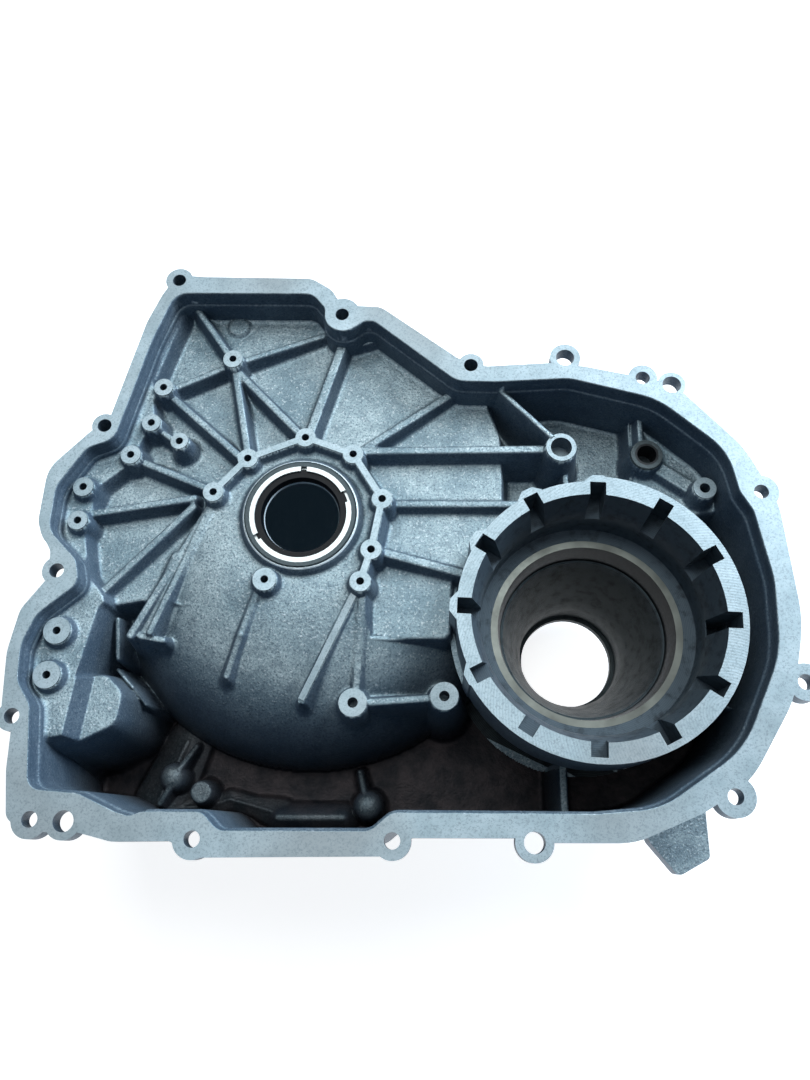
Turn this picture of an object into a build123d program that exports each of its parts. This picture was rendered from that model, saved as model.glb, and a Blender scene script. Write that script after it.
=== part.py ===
from build123d import *
import math
import os

# Converter bell housing of a front-drive automatic gearbox, seen and machined from the gearbox side.
# Millimetres. Z runs along the converter axis, from the engine face (Z = 0) to the joint face of the
# gearbox case. X runs along the straight lower edge of the joint flange. The origin is where the
# converter axis meets the engine face.

# Heights along the converter axis
CASE_HEIGHT = 175.0
JOINT_FLANGE_THICKNESS = 11.0
ENGINE_FLANGE_THICKNESS = 12.0
WALL = 6.0

# Depths of the gearbox-side floors, measured down from the joint face
PLATE_DEPTH = 31.0
SHALLOW_DEPTH = 18.0
SHAFT_FLOOR_DEPTH = 56.0
SHELF_DEPTH = 42.0
RING_CHANNEL_DEPTH = 74.0
SUMP_DEPTH = 115.0
SUMP_SHELF_DEPTH = 92.0

# Depths of machined faces below the joint face
PUMP_FACE_DEPTH = 10.0
BOSS_FACE_DEPTH = 12.0
LOW_BOSS_DEPTH = 35.0
SHAFT_BOSS_DEPTH = 12.0
SLEEVE_BOSS_DEPTH = 28.0
STUD_BOSS_DEPTH = 25.0
RIB_TOP_DEPTH = 19.0
RIB_FOOT_DEPTH = 24.0

# Converter dome and the bell mouth on the engine side
BELL_MOUTH_RADIUS = 147.0
BELL_SHOULDER_DROP = 5.0
DOME_CROWN_RADIUS = 42.0
DOME_CROWN_DEPTH = 19.0
DOME_STEPS = 8
BELL_CROWN_RADIUS = 60.0
ENGINE_FLANGE_REACH = 13.0
ENGINE_BOLT_REACH = 10.0
ENGINE_BOLT_RADIUS = 5.3
ENGINE_EAR_WALL = 7.2
ENGINE_BOLT_COUNT = 6
ENGINE_BOLT_ANGLE = 9.0
ENGINE_DOWEL_RADIUS = 6.0
ENGINE_DOWEL_ANGLES = (39.0, 219.0)
OUTER_RIB_ANGLES = (24, 54, 84, 114, 144, 174, 204, 234, 264, 294)
OUTER_RIB_WIDTH = 6.0
OUTER_RIB_REACH = 12.0
OUTER_RIB_HEIGHT = 52.0

# Straight stretches of the lower wall, and the ribs down its outside: X and the wall's inner face there
SUMP_WALL_Y = -195.2
LOWER_WALL_Y = -185.2
SUMP_RIBS = (
    (-24, SUMP_WALL_Y), (12, SUMP_WALL_Y), (96, LOWER_WALL_Y), (118, LOWER_WALL_Y), (168, LOWER_WALL_Y),
    (190, LOWER_WALL_Y),
)
SUMP_RIB_WIDTH = 5.0
SUMP_RIB_REACH = 5.0

# Converter seal bore in the middle of the pump boss
SEAL_BORE_RADIUS = 33.0
SEAL_BOSS_WALL = 2.6
SEAL_BORE_DEPTH = 31.0
SEAL_BOSS_DEPTH = 12.0
SEAL_BOSS_DRAFT = 20.0
SEAL_CASE_HEIGHT = 12.0
SEAL_CASE_WALL = 1.6
SEAL_CASE_RIM = 3.2
SEAL_NOTCH_DEPTH = 2.6
SEAL_NOTCHES = ((88, 4.0), (22, 8.0), (210, 4.5))
SEAL_LIP_RADIUS = 24.2
SEAL_LIP_HEIGHT = 8.0
SPRING_WIRE_RADIUS = 1.1
FIT_GAP = 0.02

# Pump boss chain
PUMP_BOSS_RADIUS = 6.6
PUMP_WALL_WIDTH = 4.2
TAP_RADIUS = 2.5
TAP_DEPTH = 16.0

# Differential ring, bearing cup and axle bore, on their own axis
RING_X = 184.5
RING_Y = -70.0
RING_LAND_DEPTH = 22.0
RING_LAND_REACH = 8.0
RING_STEP = 6.6
RING_WALL = 12.2
RING_RELIEF = 3.4
RING_DRUM_DEPTH = 62.0
RING_TAPER_HEIGHT = 20.0
RING_SLOT_COUNT = 12
RING_SLOT_WIDTH = 10.0
RING_SLOT_REACH = 8.4
RING_SLOT_RUNOUT = 4.0
RING_SLOT_ANGLE = -3.5
RING_WINDOW_DEPTH = 34.0
RING_WINDOW_HEIGHT = 20.0
RING_WINDOW_REACH = 6.0
RING_SHORT_SLOT_DEPTHS = {7: 12.0, 8: 1.5, 9: 7.0}
RING_PAD_WIDTH = 17.0
RING_PAD_TIP = 7.0
RING_PAD_REACH = 0.8
RING_PAD_HEIGHT = 42.0
RING_PADS = (3, 4, 5, 6, 7)
CUP_OUTER_RADIUS = 62.0
CUP_RIM = 4.5
CUP_FOOT = 7.5
CUP_HEIGHT = 19.0
CUP_TOP_DEPTH = 48.0
CUP_LEAD_IN = 1.0
CUP_LEDGE = 9.0
AXLE_BORE_RADIUS = 36.3
AXLE_BORE_TOP_DEPTH = 128.0
AXLE_STOP_RADIUS = 33.4
AXLE_STOP_DEPTH = 149.0
AXLE_STOP_HEIGHT = 6.0
AXLE_SEAL_RADIUS = 38.0
AXLE_SNOUT_HEIGHT = 8.0
AXLE_SNOUT_WALL = 6.3

# Joint flange. The blind holes are given by their place in the list of bolt bosses
FLANGE_HOLE_RADIUS = 4.6
DOWEL_HOLE_RADIUS = 6.0
FLANGE_COLUMN_HEIGHT = 24.0
FLANGE_BLIND_HOLES = (0, 1, 2, 16)
FLANGE_COLUMN_INSET = 1.0

# Draft of the cast ribs and bosses, in degrees, and how deep the ribs' feet run into the floor
DRAFT = 3.0
FOOT_DEPTH = 14.0

# How far a boss runs into the floor that it stands on, and a cut past the face that it opens
ROOT = 1.0
MARGIN = 1.0

# Heights that follow from the depths
JOINT_Z = CASE_HEIGHT
PLATE_Z = JOINT_Z - PLATE_DEPTH
SHALLOW_Z = JOINT_Z - SHALLOW_DEPTH
SHAFT_FLOOR_Z = JOINT_Z - SHAFT_FLOOR_DEPTH
SHELF_Z = JOINT_Z - SHELF_DEPTH
CHANNEL_Z = JOINT_Z - RING_CHANNEL_DEPTH
SUMP_Z = JOINT_Z - SUMP_DEPTH
SUMP_SHELF_Z = JOINT_Z - SUMP_SHELF_DEPTH
PUMP_FACE_Z = JOINT_Z - PUMP_FACE_DEPTH
BOSS_Z = JOINT_Z - BOSS_FACE_DEPTH
LOW_BOSS_Z = JOINT_Z - LOW_BOSS_DEPTH
RIB_TOP_Z = JOINT_Z - RIB_TOP_DEPTH
RIB_FOOT_Z = JOINT_Z - RIB_FOOT_DEPTH
DOME_CROWN_Z = JOINT_Z - DOME_CROWN_DEPTH
SEAL_BOSS_Z = JOINT_Z - SEAL_BOSS_DEPTH
SHAFT_BOSS_Z = JOINT_Z - SHAFT_BOSS_DEPTH
SLEEVE_BOSS_Z = JOINT_Z - SLEEVE_BOSS_DEPTH
STUD_BOSS_Z = JOINT_Z - STUD_BOSS_DEPTH
RING_LAND_Z = JOINT_Z - RING_LAND_DEPTH
CUP_TOP_Z = JOINT_Z - CUP_TOP_DEPTH
CUP_SEAT_Z = CUP_TOP_Z - CUP_HEIGHT
AXLE_BORE_TOP_Z = JOINT_Z - AXLE_BORE_TOP_DEPTH
AXLE_STOP_Z = JOINT_Z - AXLE_STOP_DEPTH

# Radii that follow from the bell, the bearing cup and the seal bore
DOME_OUTER_RADIUS = BELL_MOUTH_RADIUS + WALL
ENGINE_FLANGE_RADIUS = DOME_OUTER_RADIUS + ENGINE_FLANGE_REACH
ENGINE_BOLT_CIRCLE_RADIUS = DOME_OUTER_RADIUS + ENGINE_BOLT_REACH
RING_LAND_RADIUS = CUP_OUTER_RADIUS + RING_LAND_REACH
RING_INNER_RADIUS = RING_LAND_RADIUS + RING_STEP
RING_OUTER_RADIUS = RING_INNER_RADIUS + RING_WALL
RING_SLOT_RADIUS = RING_INNER_RADIUS + RING_SLOT_REACH
SEAL_BOSS_RADIUS = SEAL_BORE_RADIUS + SEAL_BOSS_WALL

# Outer edge of the joint flange between its bolt bosses: X, Y and corner radius
FLANGE_EDGE = (
    (-92, 174.5, 5), (-72, 172.5, 30), (3, 169.6, 14), (17, 160, 12), (24, 147.8, 6), (51, 145.8, 12),
    (103, 105, 12), (121, 98.6, 12), (163, 100.5, 10), (186, 97.6, 20), (243, 84, 34), (283, 38, 60),
    (300, 0, 50), (304.5, -75, 90), (293, -122, 60), (263, -168, 60), (235, -185, 60), (196, -201, 40),
    (150, -201, 8), (132, -198.6, 6), (71, -198.6, 6), (62, -208.4, 6), (-54, -209.4, 6), (-63, -200.6, 5),
    (-97, -201, 12), (-117, -196, 10), (-145, -196, 10), (-158.5, -189, 8),
    (-162.4, -162, 10), (-163, -137, 8), (-170.5, -128, 10), (-172.5, -92, 40), (-168, -66, 14),
    (-153, -45, 8), (-154.5, -28, 8), (-165, -10, 18), (-163.5, 28, 22), (-139, 54, 10),
    (-127, 64, 8), (-109.4, 137, 12), (-101, 158, 10),
)

# Inner edge of the joint flange, which is also the inner face of the perimeter wall
CAVITY_EDGE = (
    (-92, 160.2, 13), (4, 157.8, 12), (13, 146, 6), (13, 132, 12), (27, 126.5, 12), (40, 135.6, 6),
    (47, 135, 6), (102, 88.5, 16), (128, 87.5, 30), (176, 89.4, 30), (232, 73.5, 50), (273, 36, 40),
    (277.5, 8, 10), (284.5, -5, 12), (291.5, -50, 60), (289, -95, 70), (262, -150, 60), (212, -183, 50),
    (176, -186, 40), (61, LOWER_WALL_Y, 10), (49, SUMP_WALL_Y, 10), (-37, SUMP_WALL_Y, 10), (-47, -185, 8),
    (-81, -185, 6), (-88, -187.6, 6), (-97, -185, 6), (-119, -175, 8), (-149, -172.6, 9),
    (-154.5, -124, 8), (-164, -110, 14), (-165, -88, 24), (-158, -69, 20), (-134.5, -49, 9),
    (-138, -34, 12), (-158, -14, 16), (-157, 16, 22), (-140, 43, 12), (-123, 49, 12), (-104.5, 124, 30),
)

# Bolt bosses of the joint flange: X, Y, boss radius, hole radius
FLANGE_BOSSES = (
    (-89.9, 170.2, 9.4, FLANGE_HOLE_RADIUS), (24.6, 140.5, 12.5, FLANGE_HOLE_RADIUS),
    (111.4, 99.8, 8.5, FLANGE_HOLE_RADIUS), (173.9, 104.4, 10.0, DOWEL_HOLE_RADIUS),
    (223.7, 88.5, 9.4, FLANGE_HOLE_RADIUS), (242.1, 83.2, 9.0, DOWEL_HOLE_RADIUS),
    (290.5, 7.3, 11.0, FLANGE_HOLE_RADIUS), (301.0, -112.1, 11.0, FLANGE_HOLE_RADIUS),
    (253.3, -176.3, 11.5, FLANGE_HOLE_RADIUS), (140.4, -201.0, 10.8, DOWEL_HOLE_RADIUS),
    (61.3, -200.2, 10.6, FLANGE_HOLE_RADIUS), (-51.1, -199.5, 11.2, FLANGE_HOLE_RADIUS),
    (-125.3, -190.1, 10.4, DOWEL_HOLE_RADIUS), (-144.8, -189.1, 10.8, FLANGE_HOLE_RADIUS),
    (-163.7, -130.8, 9.0, FLANGE_HOLE_RADIUS), (-148.7, -41.1, 9.2, FLANGE_HOLE_RADIUS),
    (-129.9, 58.5, 8.4, FLANGE_HOLE_RADIUS),
)

# Floor regions, drawn past the perimeter wall, which trims them
SHALLOW_REGION = (
    (-200, -240, 0), (-155, -150, 0), (-142, -131, 8), (-126, -56, 10), (-136, -38, 10), (-141, -12, 14),
    (-137, 22, 14), (-118, 38, 8), (-104, 72, 8), (-107, 103, 8), (-90, 158, 4), (-96, 200, 0),
    (-260, 200, 0), (-260, -240, 0),
)
SUMP_REGION = (
    (-200, -260, 0), (-156, -150, 0), (-142, -131, 10), (-126, -56, 8), (-104, -52, 6), (-66, -56, 12),
    (-20, -70, 40), (44, -78, 4), (95, -78, 4), (97, -40, 6), (135, -2, 4), (230, -2, 4), (262, -110, 10),
    (330, -150, 0), (330, -260, 0),
)
SHAFT_REGION = (
    (112, 130, 0), (122, 88, 3), (131, 62, 20), (131.5, 30, 30), (130, -10, 0), (222, -10, 0), (222, 130, 0),
)
UPPER_REGION = (
    (-108, -77, 0), (-57.2, 14.9, 6), (-36, 38.5, 6), (1.5, 53.1, 6), (33.4, 40.7, 6), (52.8, 9, 6),
    (46.2, -25.3, 6), (41, -50, 2), (45, -78, 0), (95, -78, 0), (240, -78, 0), (240, 240, 0), (-240, 240, 0),
    (-240, -77, 0),
)
SHELF_REGION = ((216, -5, 0), (222, 140, 0), (340, 140, 0), (340, 20, 0), (262, -5, 6))
CHANNEL_REGION = ((216, 0, 0), (340, 22, 0), (340, -160, 0), (230, -100, 0))

# Tapped bosses on the plates: X, Y, radius at the face, height of the face
PLATE_BOSSES = (
    (-97.5, 93.1, 6.4, BOSS_Z), (-103.3, 66.4, 6.2, BOSS_Z), (-82.5, 51.6, 5.8, PUMP_FACE_Z),
    (-114.9, 43.0, 6.6, BOSS_Z), (-51.3, 114.4, 6.6, BOSS_Z), (-143.2, 19.4, 6.6, PUMP_FACE_Z),
    (-144.0, -4.0, 6.4, PUMP_FACE_Z), (-148.0, -76.9, 8.4, PUMP_FACE_Z), (-150.7, -104.5, 8.4, PUMP_FACE_Z),
    (-20.5, -44.6, 7.4, PUMP_FACE_Z),
)
LOW_BOSSES = ((34.4, -117.8, 8.8), (91.7, -113.9, 8.8))
LOW_BOSS_TAP_RADIUS = 3.3
CAST_PAD = (-52.7, 150.7, 7.0)
CAST_PAD_RISE = 2.5
PUMP_BOSSES = (
    (-57.2, 14.9), (-36.0, 38.5), (1.5, 53.1), (33.4, 40.7), (52.8, 9.0), (46.2, -25.3), (39.7, -46.3),
)

# Shaft bosses beside the ring: X, Y, outer radius, bore radius, bore depth
SHAFT_BOSS = (169.8, 44.9, 9.8, 6.9, 15.0)
SLEEVE_BOSS = (228.9, 46.3, 10.4, 7.8, 17.0)
SLEEVE_WALL = 1.4
STUD_BOSS = (263.9, 20.4, 7.4, 3.4, 20.0)

# Ribs on the plates: start, end, width at the crest, height at the start, height at the end
PLATE_RIBS = (
    ((-82.3, 160.6), (-51.3, 114.4), 3.6, RIB_TOP_Z, RIB_TOP_Z),
    ((-97.5, 93.1), (-51.3, 114.4), 3.6, RIB_TOP_Z, RIB_TOP_Z),
    ((-51.3, 114.4), (9.0, 138.6), 3.6, RIB_TOP_Z, RIB_FOOT_Z),
    ((-49.0, 108.0), (-2.0, 58.0), 4.2, RIB_TOP_Z, RIB_TOP_Z),
    ((-50.5, 108.0), (-38.0, 45.0), 4.2, RIB_TOP_Z, RIB_TOP_Z),
    ((-94.0, 90.0), (-44.0, 44.0), 4.0, RIB_TOP_Z, RIB_TOP_Z),
    ((-114.9, 43.0), (-66.0, 22.0), 4.0, RIB_TOP_Z, RIB_TOP_Z),
    ((-144.0, 3.0), (-72.0, 14.0), 4.0, RIB_TOP_Z, RIB_TOP_Z),
    ((-144.0, -66.0), (-72.0, 8.0), 4.0, RIB_FOOT_Z, RIB_TOP_Z),
    ((3.0, 60.0), (24.0, 130.0), 5.6, RIB_TOP_Z, RIB_TOP_Z),
    ((38.0, 47.0), (101.0, 92.5), 4.6, RIB_TOP_Z, RIB_FOOT_Z),
    ((36.0, 46.6), (169.0, 46.6), 4.6, RIB_TOP_Z, RIB_TOP_Z),
    ((54.0, 10.6), (142.0, 9.6), 4.0, RIB_FOOT_Z, RIB_FOOT_Z),
    ((24.0, 130.0), (47.0, 136.5), 6.0, RIB_FOOT_Z, RIB_FOOT_Z),
    ((-91.0, 157.0), (-107.0, 103.0), 3.6, RIB_TOP_Z, RIB_TOP_Z),
    ((226.0, 50.0), (226.4, 86.0), 3.0, SHELF_Z + 10, SHELF_Z + 14),
    ((228.9, 46.3), (263.9, 20.4), 9.0, SHELF_Z + 6, SHELF_Z + 6),
)
# Taller fins that stand on the dome and in the wells beside it
DEEP_RIBS = (
    ((127.0, 91.5), (166.0, 50.0), 2.6, SHAFT_BOSS_Z, SHAFT_BOSS_Z, 52.0),
    ((-57.2, 14.9), (-107.9, -75.9), 4.0, RIB_TOP_Z, RIB_FOOT_Z - 4, 40.0),
    ((-27.2, -51.5), (-44.5, -99.0), 4.0, RIB_TOP_Z - 4, PLATE_Z - 8, 34.0),
    ((36.5, -50.2), (3.0, -117.0), 4.0, RIB_TOP_Z + 2, RIB_FOOT_Z - 4, 40.0),
    ((41.0, -50.3), (36.0, -112.0), 4.0, RIB_TOP_Z + 2, LOW_BOSS_Z - 3, 34.0),
    ((34.4, -117.8), (91.7, -113.9), 4.0, LOW_BOSS_Z - 4, LOW_BOSS_Z - 4, 60.0),
    ((167.5, -150.0), (167.0, -190.0), 4.0, SUMP_Z + 45, SUMP_Z + 45, 46.0),
)

# Blunt cast bosses on the sump floor, as high as its shelf: X, Y, radius; and the share taken off the rim
SUMP_BALLS = ((-92.2, -158.0, 8.6), (40.4, -176.6, 8.6), (-71.6, -168.3, 7.0))
SUMP_BALL_CHAMFER = 0.5

# D-shaped pad against the wall at the left of the sump, level with the plates
WALL_PAD = (
    (-150, -103, 0), (-121, -101, 8), (-110.2, -112, 9), (-112.5, -131, 10), (-134, -141.5, 3),
    (-150, -141.5, 0),
)

# Bracket ear on the outside, below the joint flange
BRACKET_EAR = ((215, -160, 0), (224, -199, 6), (241, -220, 4), (262, -209, 4), (262, -155, 0))
BRACKET_EAR_Z = 68.0
BRACKET_EAR_THICKNESS = 14.0


def outline_face(corners):
    """Flat face from corners that each carry their own radius."""
    path = FilletPolyline(*[(x, y) for x, y, _ in corners], radius=[r for _, _, r in corners], close=True)
    return make_face(path)


def slab(face, bottom, top):
    """Prism of a flat face between two heights."""
    return extrude(Pos(0, 0, bottom) * face, amount=top - bottom)


def post(x, y, radius, bottom, top, draft=0.0):
    """Round boss that widens towards its foot by the draft angle."""
    spread = (top - bottom) * math.tan(math.radians(draft))
    if spread == 0:
        body = Cylinder(radius, top - bottom)
    else:
        body = Cone(radius + spread, radius, top - bottom)
    return Pos(x, y, (bottom + top) / 2) * body


def drill(x, y, radius, bottom, top):
    """Round hole between two heights."""
    return Pos(x, y, (bottom + top) / 2) * Cylinder(radius, top - bottom)


def rib(start, end, width, start_top, end_top, depth):
    """Drafted rib: its wedge section is carried from start to end along the slope of its crest."""
    dx = end[0] - start[0]
    dy = end[1] - start[1]
    foot = width / 2 + depth * math.tan(math.radians(DRAFT))
    plane = Plane(origin=(start[0], start[1], start_top), x_dir=(-dy, dx, 0), z_dir=(dx, dy, 0))
    section = Polyline((-width / 2, 0), (width / 2, 0), (foot, -depth), (-foot, -depth), close=True)
    return Solid.extrude((plane * make_face(section)).face(), Vector(dx, dy, end_top - start_top))


def turned(points, x=0.0, y=0.0):
    """Body turned about a vertical axis from a closed profile of radius and height."""
    profile = make_face(Plane.XZ * Polyline(*points, close=True))
    return Pos(x, y, 0) * revolve(profile, axis=Axis.Z)


def dome(crown_radius, crown_z, foot_radius, foot_z, bottom):
    """Converter dome: flat crown, quarter-ellipse shoulder in even cone steps, and straight skirt."""
    rise = crown_z - foot_z
    reach = foot_radius - crown_radius
    turns = [math.pi / 2 * step / DOME_STEPS for step in range(DOME_STEPS + 1)]
    shoulder = [(crown_radius + reach * math.sin(turn), foot_z + rise * math.cos(turn)) for turn in turns]
    return turned([(0, bottom), (0, crown_z)] + shoulder + [(foot_radius, bottom)])


def dome_body():
    """Outside of the converter dome, cut back to the plates above its upper half."""
    crown = dome(DOME_CROWN_RADIUS, DOME_CROWN_Z, DOME_OUTER_RADIUS, SUMP_Z, 0)
    return crown - slab(outline_face(UPPER_REGION), PLATE_Z, JOINT_Z)


def wall_face():
    """Plan of everything inside the outer skin of the perimeter wall."""
    return offset(outline_face(CAVITY_EDGE), amount=WALL)


def floor_levels():
    """Each floor region with its height, from the highest to the deepest."""
    return (
        (outline_face(SHAFT_REGION), SHAFT_FLOOR_Z),
        (outline_face(SHELF_REGION), SHELF_Z),
        (outline_face(CHANNEL_REGION), CHANNEL_Z),
        (outline_face(SUMP_REGION), SUMP_Z),
    )


def case_body():
    """Perimeter wall, floors and step walls, with the gearbox-side hollows cut out."""
    cavity = outline_face(CAVITY_EDGE)
    wall = wall_face()
    shallow = outline_face(SHALLOW_REGION)
    body = slab(wall, PLATE_Z - WALL, JOINT_Z)
    hollow = slab(cavity - shallow, PLATE_Z, JOINT_Z) + slab(cavity & shallow, SHALLOW_Z, JOINT_Z)
    for region, height in floor_levels():
        body += slab(wall & offset(region, amount=WALL), height - WALL, JOINT_Z)
        hollow += slab(cavity & region, height, JOINT_Z)
    return body - hollow


def joint_flange():
    """Joint flange with its bolt bosses, and a column below each one that is drilled blind."""
    face = outline_face(FLANGE_EDGE)
    for x, y, radius, _ in FLANGE_BOSSES:
        face += Pos(x, y) * Circle(radius)
    cavity = outline_face(CAVITY_EDGE)
    flange = slab(face, JOINT_Z - JOINT_FLANGE_THICKNESS, JOINT_Z)
    columns = []
    for x, y, radius, _ in [FLANGE_BOSSES[index] for index in FLANGE_BLIND_HOLES]:
        columns.append(post(x, y, radius - FLANGE_COLUMN_INSET, JOINT_Z - FLANGE_COLUMN_HEIGHT, JOINT_Z))
    return flange + columns - slab(cavity, 0, JOINT_Z)


def engine_bolt_spots():
    """Centres of the engine bolts, evenly spaced round the bell."""
    step = 360 / ENGINE_BOLT_COUNT
    angles = [ENGINE_BOLT_ANGLE + step * index for index in range(ENGINE_BOLT_COUNT)]
    return [Vector(ENGINE_BOLT_CIRCLE_RADIUS, 0).rotate(Axis.Z, angle) for angle in angles]


def engine_dowel_spots():
    """Centres of the two dowel holes of the engine face."""
    return [Vector(ENGINE_BOLT_CIRCLE_RADIUS, 0).rotate(Axis.Z, angle) for angle in ENGINE_DOWEL_ANGLES]


def engine_flange():
    """Ring and bolt ears of the engine face, and the ribs that brace them on the bell."""
    pieces = [slab(Circle(ENGINE_FLANGE_RADIUS), 0, ENGINE_FLANGE_THICKNESS)]
    ear_radius = ENGINE_BOLT_RADIUS + ENGINE_EAR_WALL
    for spot in engine_bolt_spots() + engine_dowel_spots():
        pieces.append(post(spot.X, spot.Y, ear_radius, 0, ENGINE_FLANGE_THICKNESS))
    web = Box(2 * OUTER_RIB_REACH, OUTER_RIB_WIDTH, OUTER_RIB_HEIGHT)
    for angle in OUTER_RIB_ANGLES:
        pieces.append(Rot(0, 0, angle) * Pos(DOME_OUTER_RADIUS - ROOT, 0, OUTER_RIB_HEIGHT / 2) * web)
    return pieces


def outer_features():
    """Ribs down the sump wall and the bracket ear, all outside the case."""
    web = Box(SUMP_RIB_WIDTH, WALL + SUMP_RIB_REACH, SUMP_DEPTH)
    reach = (WALL + SUMP_RIB_REACH) / 2
    ribs = [Pos(x, wall_y - reach, (JOINT_Z + SUMP_Z) / 2 - WALL) * web for x, wall_y in SUMP_RIBS]
    plan = outline_face(BRACKET_EAR) - outline_face(CAVITY_EDGE)
    return ribs + [slab(plan, BRACKET_EAR_Z, BRACKET_EAR_Z + BRACKET_EAR_THICKNESS)]


def tower():
    """Outer form of the differential tower: slotted drum, shoulder, funnel and axle snout."""
    drum_z = JOINT_Z - RING_DRUM_DEPTH
    seat_outer = CUP_OUTER_RADIUS + WALL
    snout = AXLE_SEAL_RADIUS + AXLE_SNOUT_WALL
    profile = (
        (0, AXLE_SNOUT_HEIGHT), (snout, AXLE_SNOUT_HEIGHT), (snout, AXLE_BORE_TOP_Z - WALL),
        (seat_outer, CUP_SEAT_Z - WALL), (seat_outer, drum_z),
        (RING_OUTER_RADIUS, drum_z + RING_TAPER_HEIGHT), (RING_OUTER_RADIUS, JOINT_Z), (0, JOINT_Z),
    )
    return turned(profile, RING_X, RING_Y)


def slot_angle(index):
    """Bearing of one of the evenly spaced slots, in degrees."""
    return RING_SLOT_ANGLE + index * 360 / RING_SLOT_COUNT


def on_ring(angle, shape):
    """Turns a shape drawn along X to its bearing and sets it on the differential axis."""
    return Pos(RING_X, RING_Y, 0) * Rot(0, 0, angle) * shape


def ring_relief():
    """Thinner stretch of the drum behind the pads on its pump side."""
    first, last = slot_angle(RING_PADS[0]), slot_angle(RING_PADS[-1])
    reach = 3 * RING_OUTER_RADIUS
    corners = [Vector(reach, 0).rotate(Axis.Z, angle) for angle in (first, (first + last) / 2, last)]
    sector = make_face(Polyline((0, 0), *[(corner.X, corner.Y) for corner in corners], close=True))
    band = (Circle(RING_OUTER_RADIUS + MARGIN) - Circle(RING_OUTER_RADIUS - RING_RELIEF)) & sector
    return Pos(RING_X, RING_Y, 0) * slab(band, JOINT_Z - RING_PAD_HEIGHT, JOINT_Z)


def tower_hollow():
    """Bore of the tower, from its tapered mouth down to the axle bore, its stop and its seal seat."""
    pocket = CUP_OUTER_RADIUS + FIT_GAP
    snout = AXLE_SEAL_RADIUS + AXLE_SNOUT_WALL
    stop_foot = AXLE_STOP_Z - AXLE_STOP_HEIGHT
    profile = (
        (0, -MARGIN), (snout, -MARGIN), (snout, AXLE_SNOUT_HEIGHT), (AXLE_SEAL_RADIUS, AXLE_SNOUT_HEIGHT),
        (AXLE_SEAL_RADIUS, stop_foot), (AXLE_STOP_RADIUS, stop_foot), (AXLE_STOP_RADIUS, AXLE_STOP_Z),
        (AXLE_BORE_RADIUS, AXLE_STOP_Z), (AXLE_BORE_RADIUS, AXLE_BORE_TOP_Z),
        (CUP_OUTER_RADIUS - CUP_LEDGE, CUP_SEAT_Z), (pocket, CUP_SEAT_Z), (pocket, CUP_TOP_Z),
        (RING_LAND_RADIUS, CUP_TOP_Z + CUP_LEAD_IN), (RING_LAND_RADIUS, RING_LAND_Z),
        (RING_INNER_RADIUS, JOINT_Z), (0, JOINT_Z),
    )
    return turned(profile, RING_X, RING_Y)


def ring_pads():
    """Thicker pads outside the slots on the pump side of the drum."""
    foot = RING_OUTER_RADIUS - RING_RELIEF
    tip = RING_OUTER_RADIUS + RING_PAD_REACH
    corners = (
        (RING_INNER_RADIUS, -RING_PAD_WIDTH / 2), (foot, -RING_PAD_WIDTH / 2), (tip, -RING_PAD_TIP / 2),
        (tip, RING_PAD_TIP / 2), (foot, RING_PAD_WIDTH / 2), (RING_INNER_RADIUS, RING_PAD_WIDTH / 2),
    )
    pad = slab(make_face(Polyline(*corners, close=True)), JOINT_Z - RING_PAD_HEIGHT, JOINT_Z)
    return [on_ring(slot_angle(index), pad) for index in RING_PADS]


def ring_slots():
    """Slots down the inside of the drum: three stop short, and the first has a window below it."""
    inner = RING_LAND_RADIUS - MARGIN
    reach = RING_SLOT_RADIUS - inner
    window = Box(2 * RING_WINDOW_REACH, RING_SLOT_WIDTH, RING_WINDOW_HEIGHT)
    cuts = []
    for index in range(RING_SLOT_COUNT):
        depth = RING_SHORT_SLOT_DEPTHS.get(index, RING_LAND_DEPTH + RING_SLOT_RUNOUT)
        slot = Pos(inner + reach / 2, 0, JOINT_Z - depth / 2) * Box(reach, RING_SLOT_WIDTH, depth)
        cuts.append(on_ring(slot_angle(index), slot))
    cuts.append(on_ring(slot_angle(0), Pos(RING_INNER_RADIUS, 0, JOINT_Z - RING_WINDOW_DEPTH) * window))
    return cuts


def pump_boss():
    """Tapped bosses of the pump, the wall that joins them and the raised seal boss."""
    foot = PLATE_Z - ROOT
    pieces = [post(x, y, PUMP_BOSS_RADIUS, foot, PUMP_FACE_Z) for x, y in PUMP_BOSSES]
    for start, end in zip(PUMP_BOSSES[:-1], PUMP_BOSSES[1:]):
        pieces.append(rib(start, end, PUMP_WALL_WIDTH, PUMP_FACE_Z, PUMP_FACE_Z, PUMP_FACE_Z - foot))
    pieces.append(post(0, 0, SEAL_BOSS_RADIUS, DOME_CROWN_Z - ROOT, SEAL_BOSS_Z, SEAL_BOSS_DRAFT))
    return pieces


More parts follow.
